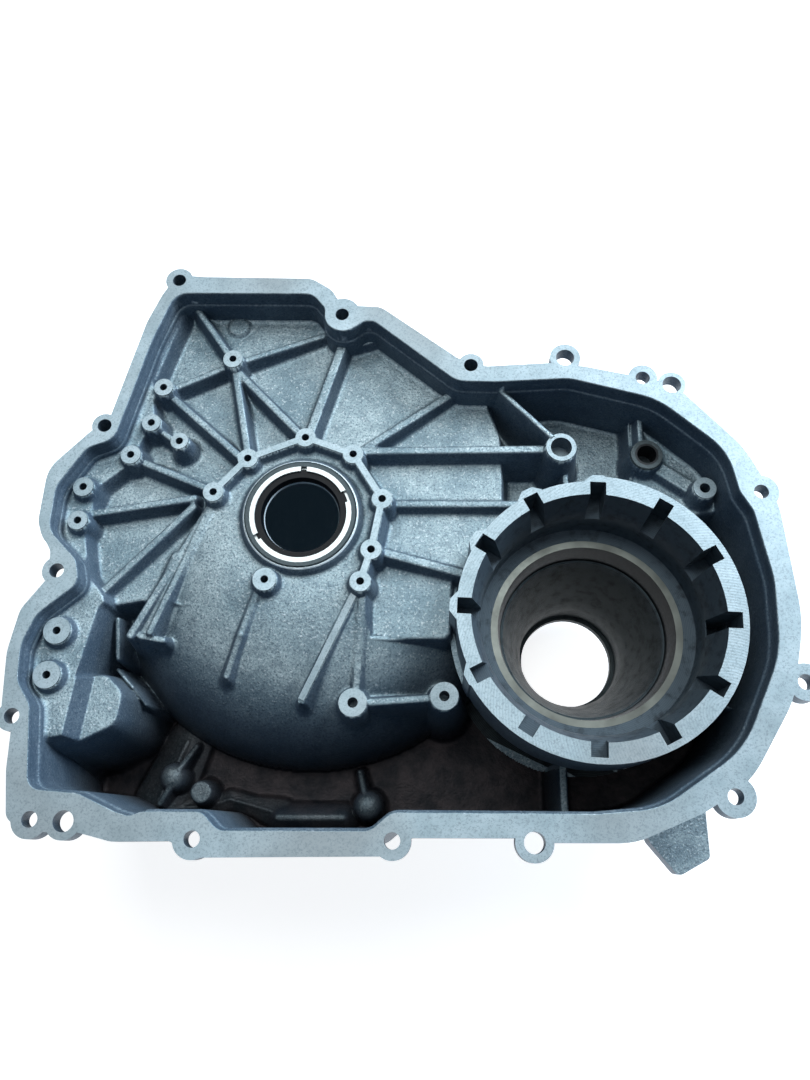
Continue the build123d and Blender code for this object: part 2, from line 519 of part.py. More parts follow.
def cast_bosses():
    """All bosses that stand on the floors, apart from the pump's."""
    pieces = [post(x, y, radius, PLATE_Z - ROOT, top) for x, y, radius, top in PLATE_BOSSES]
    pieces += [post(x, y, radius, SUMP_Z, LOW_BOSS_Z) for x, y, radius in LOW_BOSSES]
    x, y, radius = CAST_PAD
    pieces.append(post(x, y, radius, PLATE_Z - ROOT, PLATE_Z + CAST_PAD_RISE))
    for (x, y, radius, _, _), floor, top in (
        (SHAFT_BOSS, SHAFT_FLOOR_Z, SHAFT_BOSS_Z), (SLEEVE_BOSS, SHELF_Z, SLEEVE_BOSS_Z),
        (STUD_BOSS, SHELF_Z, STUD_BOSS_Z),
    ):
        pieces.append(post(x, y, radius, floor - ROOT, top, DRAFT))
    pieces.append(slab(outline_face(WALL_PAD), SUMP_Z - ROOT, PLATE_Z))
    for x, y, radius in SUMP_BALLS:
        shoulder = SUMP_SHELF_Z - radius * SUMP_BALL_CHAMFER
        pieces.append(post(x, y, radius, SUMP_Z - ROOT, shoulder))
        pieces.append(post(x, y, radius * (1 - SUMP_BALL_CHAMFER), shoulder, SUMP_SHELF_Z, 45))
    return pieces


def cast_ribs():
    """Every rib on the plates and every fin beside the dome."""
    pieces = [rib(*spec, FOOT_DEPTH) for spec in PLATE_RIBS]
    pieces += [rib(*spec) for spec in DEEP_RIBS]
    return pieces


def bell_hollow():
    """Room for the converter, less the tower wall that stands into it."""
    shoulder_z = SUMP_Z - BELL_SHOULDER_DROP
    inner = dome(BELL_CROWN_RADIUS, PLATE_Z - WALL, BELL_MOUTH_RADIUS, shoulder_z, -MARGIN)
    return inner - tower()


def tapped_hole(x, y, radius, face_z):
    """Blind hole of the tapping size, down from a machined face."""
    return drill(x, y, radius, face_z - TAP_DEPTH, face_z + MARGIN)


def drilled_holes():
    """Bolt holes, tapped holes and shaft bores."""
    cuts = []
    for index, (x, y, _, hole) in enumerate(FLANGE_BOSSES):
        rest = WALL if index in FLANGE_BLIND_HOLES else -MARGIN
        cuts.append(drill(x, y, hole, JOINT_Z - FLANGE_COLUMN_HEIGHT + rest, JOINT_Z + MARGIN))
    cuts += [tapped_hole(x, y, TAP_RADIUS, top) for x, y, _, top in PLATE_BOSSES]
    cuts += [tapped_hole(x, y, TAP_RADIUS, PUMP_FACE_Z) for x, y in PUMP_BOSSES]
    cuts += [tapped_hole(x, y, LOW_BOSS_TAP_RADIUS, LOW_BOSS_Z) for x, y, _ in LOW_BOSSES]
    for (x, y, _, bore, depth), face_z in (
        (SHAFT_BOSS, SHAFT_BOSS_Z), (SLEEVE_BOSS, SLEEVE_BOSS_Z), (STUD_BOSS, STUD_BOSS_Z)
    ):
        cuts.append(drill(x, y, bore, face_z - depth, face_z + MARGIN))
    for spot in engine_bolt_spots():
        cuts.append(drill(spot.X, spot.Y, ENGINE_BOLT_RADIUS, -MARGIN, ENGINE_FLANGE_THICKNESS + MARGIN))
    for spot in engine_dowel_spots():
        cuts.append(drill(spot.X, spot.Y, ENGINE_DOWEL_RADIUS, -MARGIN, ENGINE_FLANGE_THICKNESS + MARGIN))
    cuts.append(drill(0, 0, SEAL_BORE_RADIUS, SEAL_BOSS_Z - SEAL_BORE_DEPTH, SEAL_BOSS_Z + MARGIN))
    return cuts


def bell_housing():
    """The whole casting."""
    body = case_body() + joint_flange()
    body += [dome_body(), tower() - ring_relief()] + ring_pads() + pump_boss()
    body += cast_bosses() + cast_ribs() + engine_flange() + outer_features()
    body -= bell_hollow()
    body -= [tower_hollow()] + ring_slots() + drilled_holes()
    return body


def diff_bearing_cup():
    """Tapered outer race pressed into the tower."""
    profile = (
        (CUP_OUTER_RADIUS - CUP_FOOT, CUP_SEAT_Z), (CUP_OUTER_RADIUS, CUP_SEAT_Z),
        (CUP_OUTER_RADIUS, CUP_TOP_Z), (CUP_OUTER_RADIUS - CUP_RIM, CUP_TOP_Z),
    )
    return turned(profile, RING_X, RING_Y)


def seal_case():
    """Pressed steel case of the converter seal. Each notch of its rim has an angle and a width."""
    outer = SEAL_BORE_RADIUS - FIT_GAP
    shell = outer - SEAL_CASE_WALL
    rim = SEAL_BORE_RADIUS - SEAL_CASE_RIM
    top = SEAL_BOSS_Z
    foot = top - SEAL_CASE_HEIGHT
    web = top - SEAL_CASE_WALL
    body = turned(((outer, top), (outer, foot), (shell, foot), (shell, web), (rim, web), (rim, top)))
    reach = SEAL_CASE_RIM + 2 * MARGIN
    spot = Pos(rim - MARGIN + reach / 2, 0, top)
    return body - [Rot(0, 0, angle) * spot * Box(reach, width, 2 * SEAL_NOTCH_DEPTH)
                   for angle, width in SEAL_NOTCHES]


def seal_lip():
    """Rubber lip bonded inside the case, with the groove for its spring."""
    outer = SEAL_BORE_RADIUS - SEAL_CASE_WALL - FIT_GAP
    skin = outer - SEAL_CASE_WALL
    seat = SEAL_LIP_RADIUS + SEAL_CASE_WALL
    top = SEAL_BOSS_Z - SEAL_CASE_WALL
    web = top - SEAL_CASE_WALL
    low = top - SEAL_LIP_HEIGHT
    profile = (
        (outer, top), (outer, low), (skin, low), (skin, web), (seat, web), (seat, low),
        (SEAL_LIP_RADIUS, low + SEAL_CASE_WALL), (seat, top),
    )
    return turned(profile)


def seal_spring():
    """Garter spring round the lip, drawn as one closed ring of six-sided section."""
    radius = SEAL_LIP_RADIUS + SEAL_CASE_WALL + SPRING_WIRE_RADIUS + FIT_GAP
    height = SEAL_BOSS_Z - SEAL_CASE_WALL - SEAL_LIP_HEIGHT + SPRING_WIRE_RADIUS
    section = Plane.XZ * Pos(radius, height) * RegularPolygon(SPRING_WIRE_RADIUS, 6)
    return revolve(section, axis=Axis.Z)


def shaft_sleeve():
    """Dark steel sleeve pressed into the boss beside the ring."""
    x, y, _, bore, depth = SLEEVE_BOSS
    ring = Circle(bore - FIT_GAP) - Circle(bore - SLEEVE_WALL)
    return Pos(x, y, 0) * slab(ring, SLEEVE_BOSS_Z - depth, SLEEVE_BOSS_Z)


def main():
    os.makedirs("parts", exist_ok=True)
    nodes = {
        "bell_housing": bell_housing(),
        "diff_bearing_cup": diff_bearing_cup(),
        "converter_seal_case": seal_case(),
        "converter_seal_lip": seal_lip(),
        "converter_seal_spring": seal_spring(),
        "shaft_sleeve": shaft_sleeve(),
    }
    for name, shape in nodes.items():
        export_step(shape, "parts/" + name + ".step")


main()
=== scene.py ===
import math

import bmesh
import bpy
import numpy as np
from mathutils import Matrix, Vector


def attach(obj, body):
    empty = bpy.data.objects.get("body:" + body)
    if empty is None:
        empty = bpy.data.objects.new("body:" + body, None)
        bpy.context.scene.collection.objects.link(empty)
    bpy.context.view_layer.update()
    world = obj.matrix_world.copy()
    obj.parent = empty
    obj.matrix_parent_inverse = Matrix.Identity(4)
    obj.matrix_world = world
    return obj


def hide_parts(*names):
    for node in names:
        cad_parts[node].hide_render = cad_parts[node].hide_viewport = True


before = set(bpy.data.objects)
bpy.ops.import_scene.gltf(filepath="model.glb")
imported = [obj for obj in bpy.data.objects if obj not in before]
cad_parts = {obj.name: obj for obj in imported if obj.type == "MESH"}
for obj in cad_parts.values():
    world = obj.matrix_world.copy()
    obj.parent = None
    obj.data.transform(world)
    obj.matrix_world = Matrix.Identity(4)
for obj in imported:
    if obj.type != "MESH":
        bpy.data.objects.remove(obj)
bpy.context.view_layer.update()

# Looks of the converter bell housing, seen from the gearbox side. Plan sizes and heights are in
# millimetres from the converter axis and the engine face, as in the part; MM turns them to metres.
MM = 0.001

# Heights of the floors and machined faces
JOINT_Z = 175.0
PLATE_Z = JOINT_Z - 31
SHALLOW_Z = JOINT_Z - 18
SHAFT_FLOOR_Z = JOINT_Z - 56
SHELF_Z = JOINT_Z - 42
CHANNEL_Z = JOINT_Z - 74
SUMP_Z = JOINT_Z - 115
SUMP_SHELF_Z = JOINT_Z - 92
PUMP_FACE_Z = JOINT_Z - 10
BOSS_Z = JOINT_Z - 12
LOW_BOSS_Z = JOINT_Z - 35
SHAFT_BOSS_Z = JOINT_Z - 12
SLEEVE_BOSS_Z = JOINT_Z - 28
STUD_BOSS_Z = JOINT_Z - 25
RIB_TOP_Z = JOINT_Z - 19
RIB_FOOT_Z = JOINT_Z - 24
SEAL_BOSS_Z = JOINT_Z - 12
DOME_CROWN_Z = JOINT_Z - 19

# Dome outside, bell inside
DOME_CROWN_RADIUS = 42.0
DOME_FOOT_RADIUS = 153.0
BELL_CROWN_RADIUS = 60.0
BELL_MOUTH_RADIUS = 147.0
BELL_CROWN_Z = PLATE_Z - 6
BELL_SHOULDER_Z = SUMP_Z - 5

# Differential ring and pump axis
RING_X = 184.5
RING_Y = -70.0
RING_OUTER_RADIUS = 88.8
RING_RELIEF_RADIUS = 85.4
RING_RELIEF_ANGLES = (86.5, 206.5)
SEAL_BOSS_RADIUS = 35.6
SEAL_RIM_RADIUS = 37.3
SEAL_RIM_EDGE = 0.9

# Tops of the perimeter wall and the ring in the skin, hidden below the milled joint face
HIDDEN_TOP_Z = JOINT_Z - 1

# The cast skin: how far it stands proud of the part, its grid, its roundings
SKIN = 0.35
GRID_PITCH = 0.8
SKIN_DEPTH = 2.5
STEP_EDGE = 2.0
STEP_OFFSET = 1.0
FOOT_FILLET = 4.2
WALL_FILLET = 5.0
WALL_DRAFT = math.tan(math.radians(1.5))
RIB_DRAFT = math.tan(math.radians(6))
SEAL_BOSS_DRAFT = math.tan(math.radians(20))
SHALLOW_SLOPE = 0.12
PAD_SLOPE = 0.5
PAD_EDGE_SLOPE = 4
LEAST_RUN = 0.75
RIM_SHARE = 0.45
FOOT_SHARE = 0.5
MACHINED_EDGE = 0.3
MACHINED_SINK = 1.2
BLEND = 1.2
BLEND_RISE = 2.0
DOME_BLEND = 6.0
DOME_BLEND_Z = SUMP_Z + 1

# How far the skin runs into the wall and into turned forms, and how far grid points are moved
GRID_MARGIN = 2
WALL_OVERLAP = 1.4
TURNED_OVERLAP = 1.2
SETTLE_REACH = 0.45 * GRID_PITCH
SETTLE_DEPTH = 0.8
SETTLE_RISE = 0.05

# Wall lining: its edges against the wall, and how far it goes below the floor in front of it
LINING_TOP_Z = JOINT_Z - 0.25
LINING_GAP = 0.15
LINING_LIP = 0.1
LINING_BACK = 0.6
LINING_SINK = 1.5
FLOOR_PROBE = 3

# Ledge part of the way down the perimeter wall, and the depths at which its profile is drawn
LEDGE_DEPTH = 11.5
LEDGE_RUN = 2.0
LEDGE_REACH = 1.5
LEDGE_ROWS = np.array([0, 0.1, 3, 7, 11.5, 12, 12.5, 13, 13.5, 15])

# Bell lining: how far its two sides lie in front of and behind the bell's inside, and its crown's opening
BELL_FRONT = 0.8
BELL_BACK = 0.6
BELL_OPENING_RADIUS = 40.0

# The casting's own mesh: corners merged, angle of a sharp edge, and the reach and heights of the bore
MERGE_DISTANCE = 0.00001
SHARP_ANGLE = math.radians(24)
BORE_RADIUS = 85.6
BORE_FACING = 6
BORE_LOW_Z = 12
BORE_TOP_Z = JOINT_Z - 0.5

# Bosses that ribs, walls and floors run to
HUB = (-51.3, 114.4)
LEFT_HIGH = (-97.5, 93.1)
LEFT_UPPER = (-103.3, 66.4)
LEFT_INNER = (-82.5, 51.6)
LEFT_LOWER = (-114.9, 43.0)
LOW_INNER = (34.4, -117.8)
LOW_OUTER = (91.7, -113.9)
SLEEVE = (228.9, 46.3)
STUD = (263.9, 20.4)
PUMP_1 = (-57.2, 14.9)
PUMP_2 = (-36.0, 38.5)
PUMP_3 = (1.5, 53.1)
PUMP_4 = (33.4, 40.7)
PUMP_5 = (52.8, 9.0)
PUMP_6 = (46.2, -25.3)
PUMP_7 = (39.7, -46.3)

# Inner edge of the joint flange: X, Y, corner radius
CAVITY_EDGE = (
    (-92, 160.2, 13), (4, 157.8, 12), (13, 146, 6), (13, 132, 12), (27, 126.5, 12), (40, 135.6, 6),
    (47, 135, 6), (102, 88.5, 16), (128, 87.5, 30), (176, 89.4, 30), (232, 73.5, 50), (273, 36, 40),
    (277.5, 8, 10), (284.5, -5, 12), (291.5, -50, 60), (289, -95, 70), (262, -150, 60), (212, -183, 50),
    (176, -186, 40), (61, -185.2, 10), (49, -195.2, 10), (-37, -195.2, 10), (-47, -185, 8),
    (-81, -185, 6), (-88, -187.6, 6), (-97, -185, 6), (-119, -175, 8), (-149, -172.6, 9),
    (-154.5, -124, 8), (-164, -110, 14), (-165, -88, 24), (-158, -69, 20), (-134.5, -49, 9),
    (-138, -34, 12), (-158, -14, 16), (-157, 16, 22), (-140, 43, 12), (-123, 49, 12), (-104.5, 124, 30),
)

# Floor regions, drawn past the perimeter wall: X, Y, corner radius
REGIONS = {
    "shallow": (
        (-200, -240, 0), (-156, -151, 0), (-141, -141, 6), (-136, -100, 30), (-123, -55, 8), (-136, -38, 10),
        (-141, -12, 14), (-137, 22, 14), (-118, 38, 8), (-104, 72, 8), (-107, 103, 8), (-90, 158, 4),
        (-96, 200, 0), (-260, 200, 0), (-260, -240, 0),
    ),
    "wall_pad": (
        (-150, -103, 0), (-121, -101, 8), (-110.2, -112, 9), (-112.5, -131, 10), (-136, -142.5, 3),
        (-150, -145, 0),
    ),
    "sump": (
        (-200, -260, 0), (-156, -150, 0), (-142, -131, 10), (-126, -56, 8), (-104, -52, 6), (-66, -56, 12),
        (-20, -70, 40), (44, -78, 4), (95, -78, 4), (97, -40, 6), (135, -2, 4), (230, -2, 4),
        (262, -110, 10), (330, -150, 0), (330, -260, 0),
    ),
    "shaft": (
        (112, 130, 0), (122, 88, 3), (131, 62, 20), (131.5, 30, 30), (130, -10, 0), (222, -10, 0),
        (222, 130, 0),
    ),
    "upper": (
        (-108, -77, 0), (*PUMP_1, 6), (*PUMP_2, 6), (*PUMP_3, 6), (*PUMP_4, 6), (*PUMP_5, 6), (*PUMP_6, 6),
        (41, -50, 2), (45, -78, 0), (95, -78, 0), (240, -78, 0), (240, 240, 0), (-240, 240, 0),
        (-240, -77, 0),
    ),
    "shelf": ((216, -5, 0), (222, 140, 0), (340, 140, 0), (340, 20, 0), (262, -5, 6)),
    "channel": ((216, 0, 0), (340, 22, 0), (340, -160, 0), (230, -100, 0)),
}

# Floors from the lowest up, each with the deeper regions that it stops at
FLOORS = (
    (CHANNEL_Z, ("sump",)),
    (SHAFT_FLOOR_Z, ("sump", "channel")),
    (SHELF_Z, ("sump", "channel", "shaft")),
    (PLATE_Z, ("sump", "channel", "shaft", "shelf")),
)

# Drilled bosses with a machined face: X, Y, radius, face height, radius of the hole
BOSSES = (
    (*LEFT_HIGH, 6.4, BOSS_Z, 2.5), (*LEFT_UPPER, 6.2, BOSS_Z, 2.5), (*LEFT_INNER, 5.8, PUMP_FACE_Z, 2.5),
    (*LEFT_LOWER, 6.6, BOSS_Z, 2.5), (*HUB, 6.6, BOSS_Z, 2.5),
    (-143.2, 19.4, 6.6, PUMP_FACE_Z, 2.5), (-144.0, -4.0, 6.4, PUMP_FACE_Z, 2.5),
    (-148.0, -76.9, 8.4, PUMP_FACE_Z, 2.5), (-150.7, -104.5, 8.4, PUMP_FACE_Z, 2.5),
    (-20.5, -44.6, 7.4, PUMP_FACE_Z, 2.5), (*LOW_INNER, 8.8, LOW_BOSS_Z, 3.3),
    (*LOW_OUTER, 8.8, LOW_BOSS_Z, 3.3), (169.8, 44.9, 9.8, SHAFT_BOSS_Z, 6.9),
    (*SLEEVE, 10.4, SLEEVE_BOSS_Z, 7.8), (*STUD, 7.4, STUD_BOSS_Z, 3.4),
    (*PUMP_1, 6.6, PUMP_FACE_Z, 2.5), (*PUMP_2, 6.6, PUMP_FACE_Z, 2.5), (*PUMP_3, 6.6, PUMP_FACE_Z, 2.5),
    (*PUMP_4, 6.6, PUMP_FACE_Z, 2.5), (*PUMP_5, 6.6, PUMP_FACE_Z, 2.5), (*PUMP_6, 6.6, PUMP_FACE_Z, 2.5),
    (*PUMP_7, 6.6, PUMP_FACE_Z, 2.5),
)
PUMP_WALL_WIDTH = 4.2
PUMP_CHAIN = (PUMP_1, PUMP_2, PUMP_3, PUMP_4, PUMP_5, PUMP_6, PUMP_7)

# Cast ribs: start, end, crest width, height at the start, height at the end
RIBS = (
    ((-82.3, 160.6), HUB, 3.6, RIB_TOP_Z, RIB_TOP_Z),
    (LEFT_HIGH, HUB, 3.6, RIB_TOP_Z, RIB_TOP_Z),
    (HUB, (9.0, 138.6), 3.6, RIB_TOP_Z, RIB_FOOT_Z),
    ((-49.0, 108.0), (-2.0, 58.0), 4.2, RIB_TOP_Z, RIB_TOP_Z),
    ((-50.5, 108.0), (-38.0, 45.0), 4.2, RIB_TOP_Z, RIB_TOP_Z),
    ((-94.0, 90.0), (-44.0, 44.0), 4.0, RIB_TOP_Z, RIB_TOP_Z),
    (LEFT_LOWER, (-66.0, 22.0), 4.0, RIB_TOP_Z, RIB_TOP_Z),
    ((-144.0, 3.0), (-72.0, 14.0), 4.0, RIB_TOP_Z, RIB_TOP_Z),
    ((-144.0, -66.0), (-72.0, 8.0), 4.0, RIB_FOOT_Z, RIB_TOP_Z),
    ((3.0, 60.0), (24.0, 130.0), 5.6, RIB_TOP_Z, RIB_TOP_Z),
    ((38.0, 47.0), (101.0, 92.5), 4.6, RIB_TOP_Z, RIB_FOOT_Z),
    ((36.0, 46.6), (169.0, 46.6), 4.6, RIB_TOP_Z, RIB_TOP_Z),
    ((54.0, 10.6), (142.0, 9.6), 4.0, RIB_FOOT_Z, RIB_FOOT_Z),
    ((46.2, -22.5), (104.0, -37.5), 5.0, RIB_TOP_Z, RIB_FOOT_Z),
    ((24.0, 130.0), (47.0, 136.5), 6.0, RIB_FOOT_Z, RIB_FOOT_Z),
    ((-91.0, 157.0), (-107.0, 103.0), 3.6, RIB_TOP_Z, RIB_TOP_Z),
    (LEFT_INNER, LEFT_UPPER, 3.0, RIB_TOP_Z, RIB_TOP_Z),
    ((226.0, 50.0), (226.4, 86.0), 3.0, SHELF_Z + 10, SHELF_Z + 14),
    (SLEEVE, STUD, 9.0, SHELF_Z + 6, SHELF_Z + 6),
    ((127.0, 91.5), (166.0, 50.0), 2.6, SHAFT_BOSS_Z, SHAFT_BOSS_Z),
    (PUMP_1, (-107.9, -75.9), 4.0, RIB_TOP_Z, RIB_FOOT_Z - 4),
    ((-27.2, -51.5), (-44.5, -99.0), 4.0, RIB_TOP_Z - 4, PLATE_Z - 8),
    ((41.0, -50.3), (36.0, -112.0), 4.0, RIB_TOP_Z + 2, LOW_BOSS_Z - 3),
    (LOW_INNER, LOW_OUTER, 4.0, LOW_BOSS_Z - 4, LOW_BOSS_Z - 4),
    ((167.5, -150.0), (167.0, -190.0), 4.0, SUMP_Z + 45, SUMP_Z + 45),
)
RIB_PROUD = 0.8
RIB_EDGE = 1.6

# Ribs whose flat crest is milled and stays bare: start, end, crest width, height at both ends
BARE_RIBS = (((36.5, -50.2), (3.0, -117.0), 4.0, RIB_TOP_Z + 2, RIB_FOOT_Z - 4),)

# Small ridges of the skin alone: start, end, crest width, height at both ends, draft, rounding
RIDGES = (
    ((-60.0, 8.0), (-94.9, -74.3), 3.6, RIB_TOP_Z, RIB_FOOT_Z - 2, 0.06, 1.6),
    ((-80.0, -26.0), (-101.0, -74.0), 8.0, RIB_TOP_Z - 4, RIB_FOOT_Z - 8, 0.2, 1.0),
    ((-102.1, -76.0), (-87.1, -78.7), 2.6, RIB_FOOT_Z - 6, RIB_FOOT_Z - 6, 0.1, 0.8),
    ((-120.5, -63.0), (-120.0, -87.0), 1.6, 137, 130, 0.06, 0.8),
    ((-121.3, -93.7), (-115.8, -99.0), 0.8, 124, 128, 0.06, 1.1),
    ((-115.8, -99.0), (-109.7, -105.6), 0.8, 128, 126, 0.06, 1.1),
    ((-109.7, -105.6), (-103.3, -115.0), 0.8, 126, 116, 0.06, 1.1),
    ((-26.5, -51.5), (-36.0, -77.0), 3.0, 157.0, 152.5, 0.3, 1.2),
    ((-36.0, -77.0), (-45.5, -101.0), 3.0, 152.5, 141.5, 0.3, 1.2),
    ((-86.1, -133.7), (-101.9, -172.9), 2.0, 70, 72, 1.5, 1.0),
    ((-78.9, -137.3), (-86.5, -152.0), 2.4, 74, 82, 0.1, 1.0),
    ((-92.5, -165.0), (-99.4, -175.2), 2.4, 82, 79, 0.1, 1.0),
    ((34.6, -154.5), (38.0, -168.0), 2.2, 74, 80, 0.1, 1.0),
    ((-90.2, -177.6), (-75.4, -176.9), 1.2, 66, 66, 0.9, 0.8),
    ((-71.4, -176.9), (-54.9, -172.0), 1.2, 66, 66, 0.9, 0.8),
    ((-54.9, -172.0), (-38.4, -176.2), 1.2, 66, 66, 0.9, 0.8),
    ((-38.4, -176.2), (-20.0, -181.5), 1.2, 66, 70, 0.9, 0.8),
    ((-20.0, -184.0), (23.6, -184.0), 3.0, 75, 75, 0.5, 1.2),
    ((173.7, 44.0), (174.5, 18.0), 2.6, SHAFT_FLOOR_Z + 26, SHAFT_FLOOR_Z + 22, 0.06, 1.0),
)

# Blunt cast bosses: X, Y, radius, height, rounding of the rim
ROUND_PADS = (
    (-91.6, -158.2, 9.4, SUMP_SHELF_Z + 1.9, 9.4), (40.4, -176.6, 9.4, SUMP_SHELF_Z + 1.9, 9.4),
    (-71.2, -168.2, 7.0, SUMP_SHELF_Z, 1.2), (-52.7, 150.7, 7.0, PLATE_Z + 2.5, 1.2),
)


def unit(vectors):
    """Vectors divided by their own length."""
    return vectors / np.maximum(np.linalg.norm(vectors, axis=-1, keepdims=True), 1e-9)


def rounded_outline(corners, arc_step=math.radians(6)):
    """Closed path through the corners, each replaced by the arc of its radius tangent to both sides."""
    spots = np.array([corner[:2] for corner in corners], float)
    back = unit(np.roll(spots, 1, axis=0) - spots)
    ahead = unit(np.roll(spots, -1, axis=0) - spots)
    path = []
    for spot, one, two, corner in zip(spots, back, ahead, corners):
        if corner[2] == 0:
            path.append(spot)
            continue
        half = math.acos(np.clip(one @ two, -1, 1)) / 2
        start = spot + one * corner[2] / math.tan(half)
        centre = spot + unit(one + two) * corner[2] / math.sin(half)
        arm = start - centre
        turn = (math.pi - 2 * half) * -np.sign(one[0] * two[1] - one[1] * two[0])
        count = max(2, math.ceil(abs(turn) / arc_step) + 1)
        angles = np.linspace(0, turn, count)
        cosines, sines = np.cos(angles), np.sin(angles)
        xs = centre[0] + arm[0] * cosines - arm[1] * sines
        ys = centre[1] + arm[0] * sines + arm[1] * cosines
        path.extend(np.stack([xs, ys], axis=1))
    return np.array(path)


def path_distance(points, path):
    """Signed distance from a closed path, positive outside, and the unit vector that leads outwards.

    The distance is the least over the path's straight runs, and the sign comes from counting the runs
    that a ray towards +X crosses.
    """
    best = np.full(len(points), np.inf)
    away = np.zeros_like(points)
    inside = np.zeros(len(points), bool)
    for start, end in zip(path, np.roll(path, -1, axis=0)):
        run = end - start
        length = run @ run
        if length < 1e-12:
            continue
        arm = points - start
        share = np.clip((arm @ run) / length, 0, 1)
        gap = arm - share[:, None] * run
        square = (gap * gap).sum(axis=1)
        nearer = square < best
        best[nearer] = square[nearer]
        away[nearer] = gap[nearer]
        if run[1] != 0:
            crosses = (start[1] > points[:, 1]) != (end[1] > points[:, 1])
            at = start[0] + (points[:, 1] - start[1]) * run[0] / run[1]
            inside ^= crosses & (points[:, 0] < at)
    sign = np.where(inside, -1.0, 1.0)
    return np.sqrt(best) * sign, unit(away) * sign[:, None]


OUTLINES = {name: rounded_outline(corners) for name, corners in REGIONS.items()}
OUTLINES["cavity"] = rounded_outline(CAVITY_EDGE)


def survey(points):
    """Distance and outward direction of every plan point from each outline."""
    return {name: path_distance(points, path) for name, path in OUTLINES.items()}


def dome_height(radius):
    """Height of the dome: level crown, then a quarter ellipse down to its foot."""
    share = np.clip((radius - DOME_CROWN_RADIUS) / (DOME_FOOT_RADIUS - DOME_CROWN_RADIUS), 0, 1)
    return SUMP_Z + (DOME_CROWN_Z - SUMP_Z) * np.sqrt(1 - share**2)


def shoulder(top, floor, distance, draft, edge, fillet):
    """Height round a raised form, at a distance outside the edge of its crest.

    Inside, the crest is rounded off by a quarter circle of the edge radius. Outside, a straight flank
    falls with the draft, and a quarter circle of the fillet radius runs it out on the floor.
    """
    rise = np.maximum(top - floor, 0)
    rim = np.minimum(edge, RIM_SHARE * rise)
    foot = np.minimum(fillet, FOOT_SHARE * rise)
    run = np.maximum((rise - rim) * draft, LEAST_RUN)
    bend = np.clip(rim + distance, 0, rim)
    crest = top - rim + np.sqrt(np.maximum(rim**2 - bend**2, 0))
    flank = (top - rim) + np.clip(distance / run, 0, 1) * (floor + foot - top + rim)
    reach = np.clip(1 - (distance - run) / np.maximum(foot, 1e-6), 0, 1)
    toe = floor + foot * (1 - np.sqrt(np.maximum(1 - reach**2, 0)))
    height = np.where(distance < 0, crest, np.where(distance < run, flank, toe))
    return np.where(rise > 0, height, floor), run


def blend(one, two, floor):
    """The higher of two heights, eased where both stand on the floor and meet.

    Where they differ by less than BLEND, a quarter of it times the square of their nearness is added.
    """
    near = np.clip(1 - np.abs(one - two) / BLEND, 0, 1)
    stands = np.clip((np.minimum(one, two) - floor) / BLEND_RISE, 0, 1)
    return np.maximum(one, two) + 0.25 * BLEND * near**2 * stands


def floor_height(points, ground):
    """Floor under the ribs and bosses: stepped levels, each rounded into the one below, and the dome.

    The dome's foot is eased into the levels as in blend, and its crown stands on the upper plate. The
    wall pad slopes down from the shallow level, which comes last.
    """
    height = np.full(len(points), SUMP_Z + SKIN)
    for level, deeper in FLOORS:
        distance = -np.min([ground[name][0] for name in deeper], axis=0) - STEP_OFFSET
        height, _ = shoulder(level + SKIN, height, distance, RIB_DRAFT, STEP_EDGE, WALL_FILLET)
    dome = dome_height(np.hypot(points[:, 0], points[:, 1])) + SKIN
    upper = ground["upper"][0] < 0
    low_dome = np.where(upper, np.minimum(dome, PLATE_Z + SKIN), dome)
    near = np.clip(1 - np.abs(height - low_dome) / DOME_BLEND, 0, 1)
    ease = np.where(np.minimum(height, low_dome) > DOME_BLEND_Z, 0.25 * DOME_BLEND * near**2, 0)
    flat = (low_dome > PLATE_Z) & (height > PLATE_Z)
    height = np.maximum(height, low_dome) + np.where(flat | upper, 0, ease)
    crown, _ = shoulder(dome, height, -ground["upper"][0] - STEP_OFFSET, RIB_DRAFT, STEP_EDGE, FOOT_FILLET)
    height = np.where(upper, np.maximum(height, crown), height)
    shelf = np.maximum(ground["shallow"][0], -np.min([ground[n][0] for n in FLOORS[-1][1]], axis=0))
    pad = ground["wall_pad"][0]
    slope = SHALLOW_Z + SKIN - np.maximum(ground["shallow"][0] - STEP_OFFSET, 0) / PAD_SLOPE
    slope = np.minimum(slope, PLATE_Z - PAD_EDGE_SLOPE * pad)
    height = np.where((pad < 0) & (slope > PLATE_Z), np.maximum(height, slope), height)
    shelf = shelf - STEP_OFFSET
    shallow, _ = shoulder(SHALLOW_Z + SKIN, height, shelf, SHALLOW_SLOPE, STEP_EDGE, FOOT_FILLET)
    return np.maximum(height, shallow)


def rib_field(points, start, end, width, start_z, end_z):
    """Distance outside a straight rib's crest edge, direction away from it and its crest height there."""
    start = np.array(start)
    run = np.array(end) - start
    arm = points - start
    share = np.clip((arm @ run) / (run @ run), 0, 1)
    gap = arm - share[:, None] * run
    distance = np.linalg.norm(gap, axis=1)
    return distance - width / 2 - RIB_PROUD, unit(gap), start_z + share * (end_z - start_z) + RIB_PROUD


def round_field(points, x, y, radius):
    """Distance outside a circle and direction away from its middle."""
    arm = points - (x, y)
    return np.linalg.norm(arm, axis=1) - radius, unit(arm)


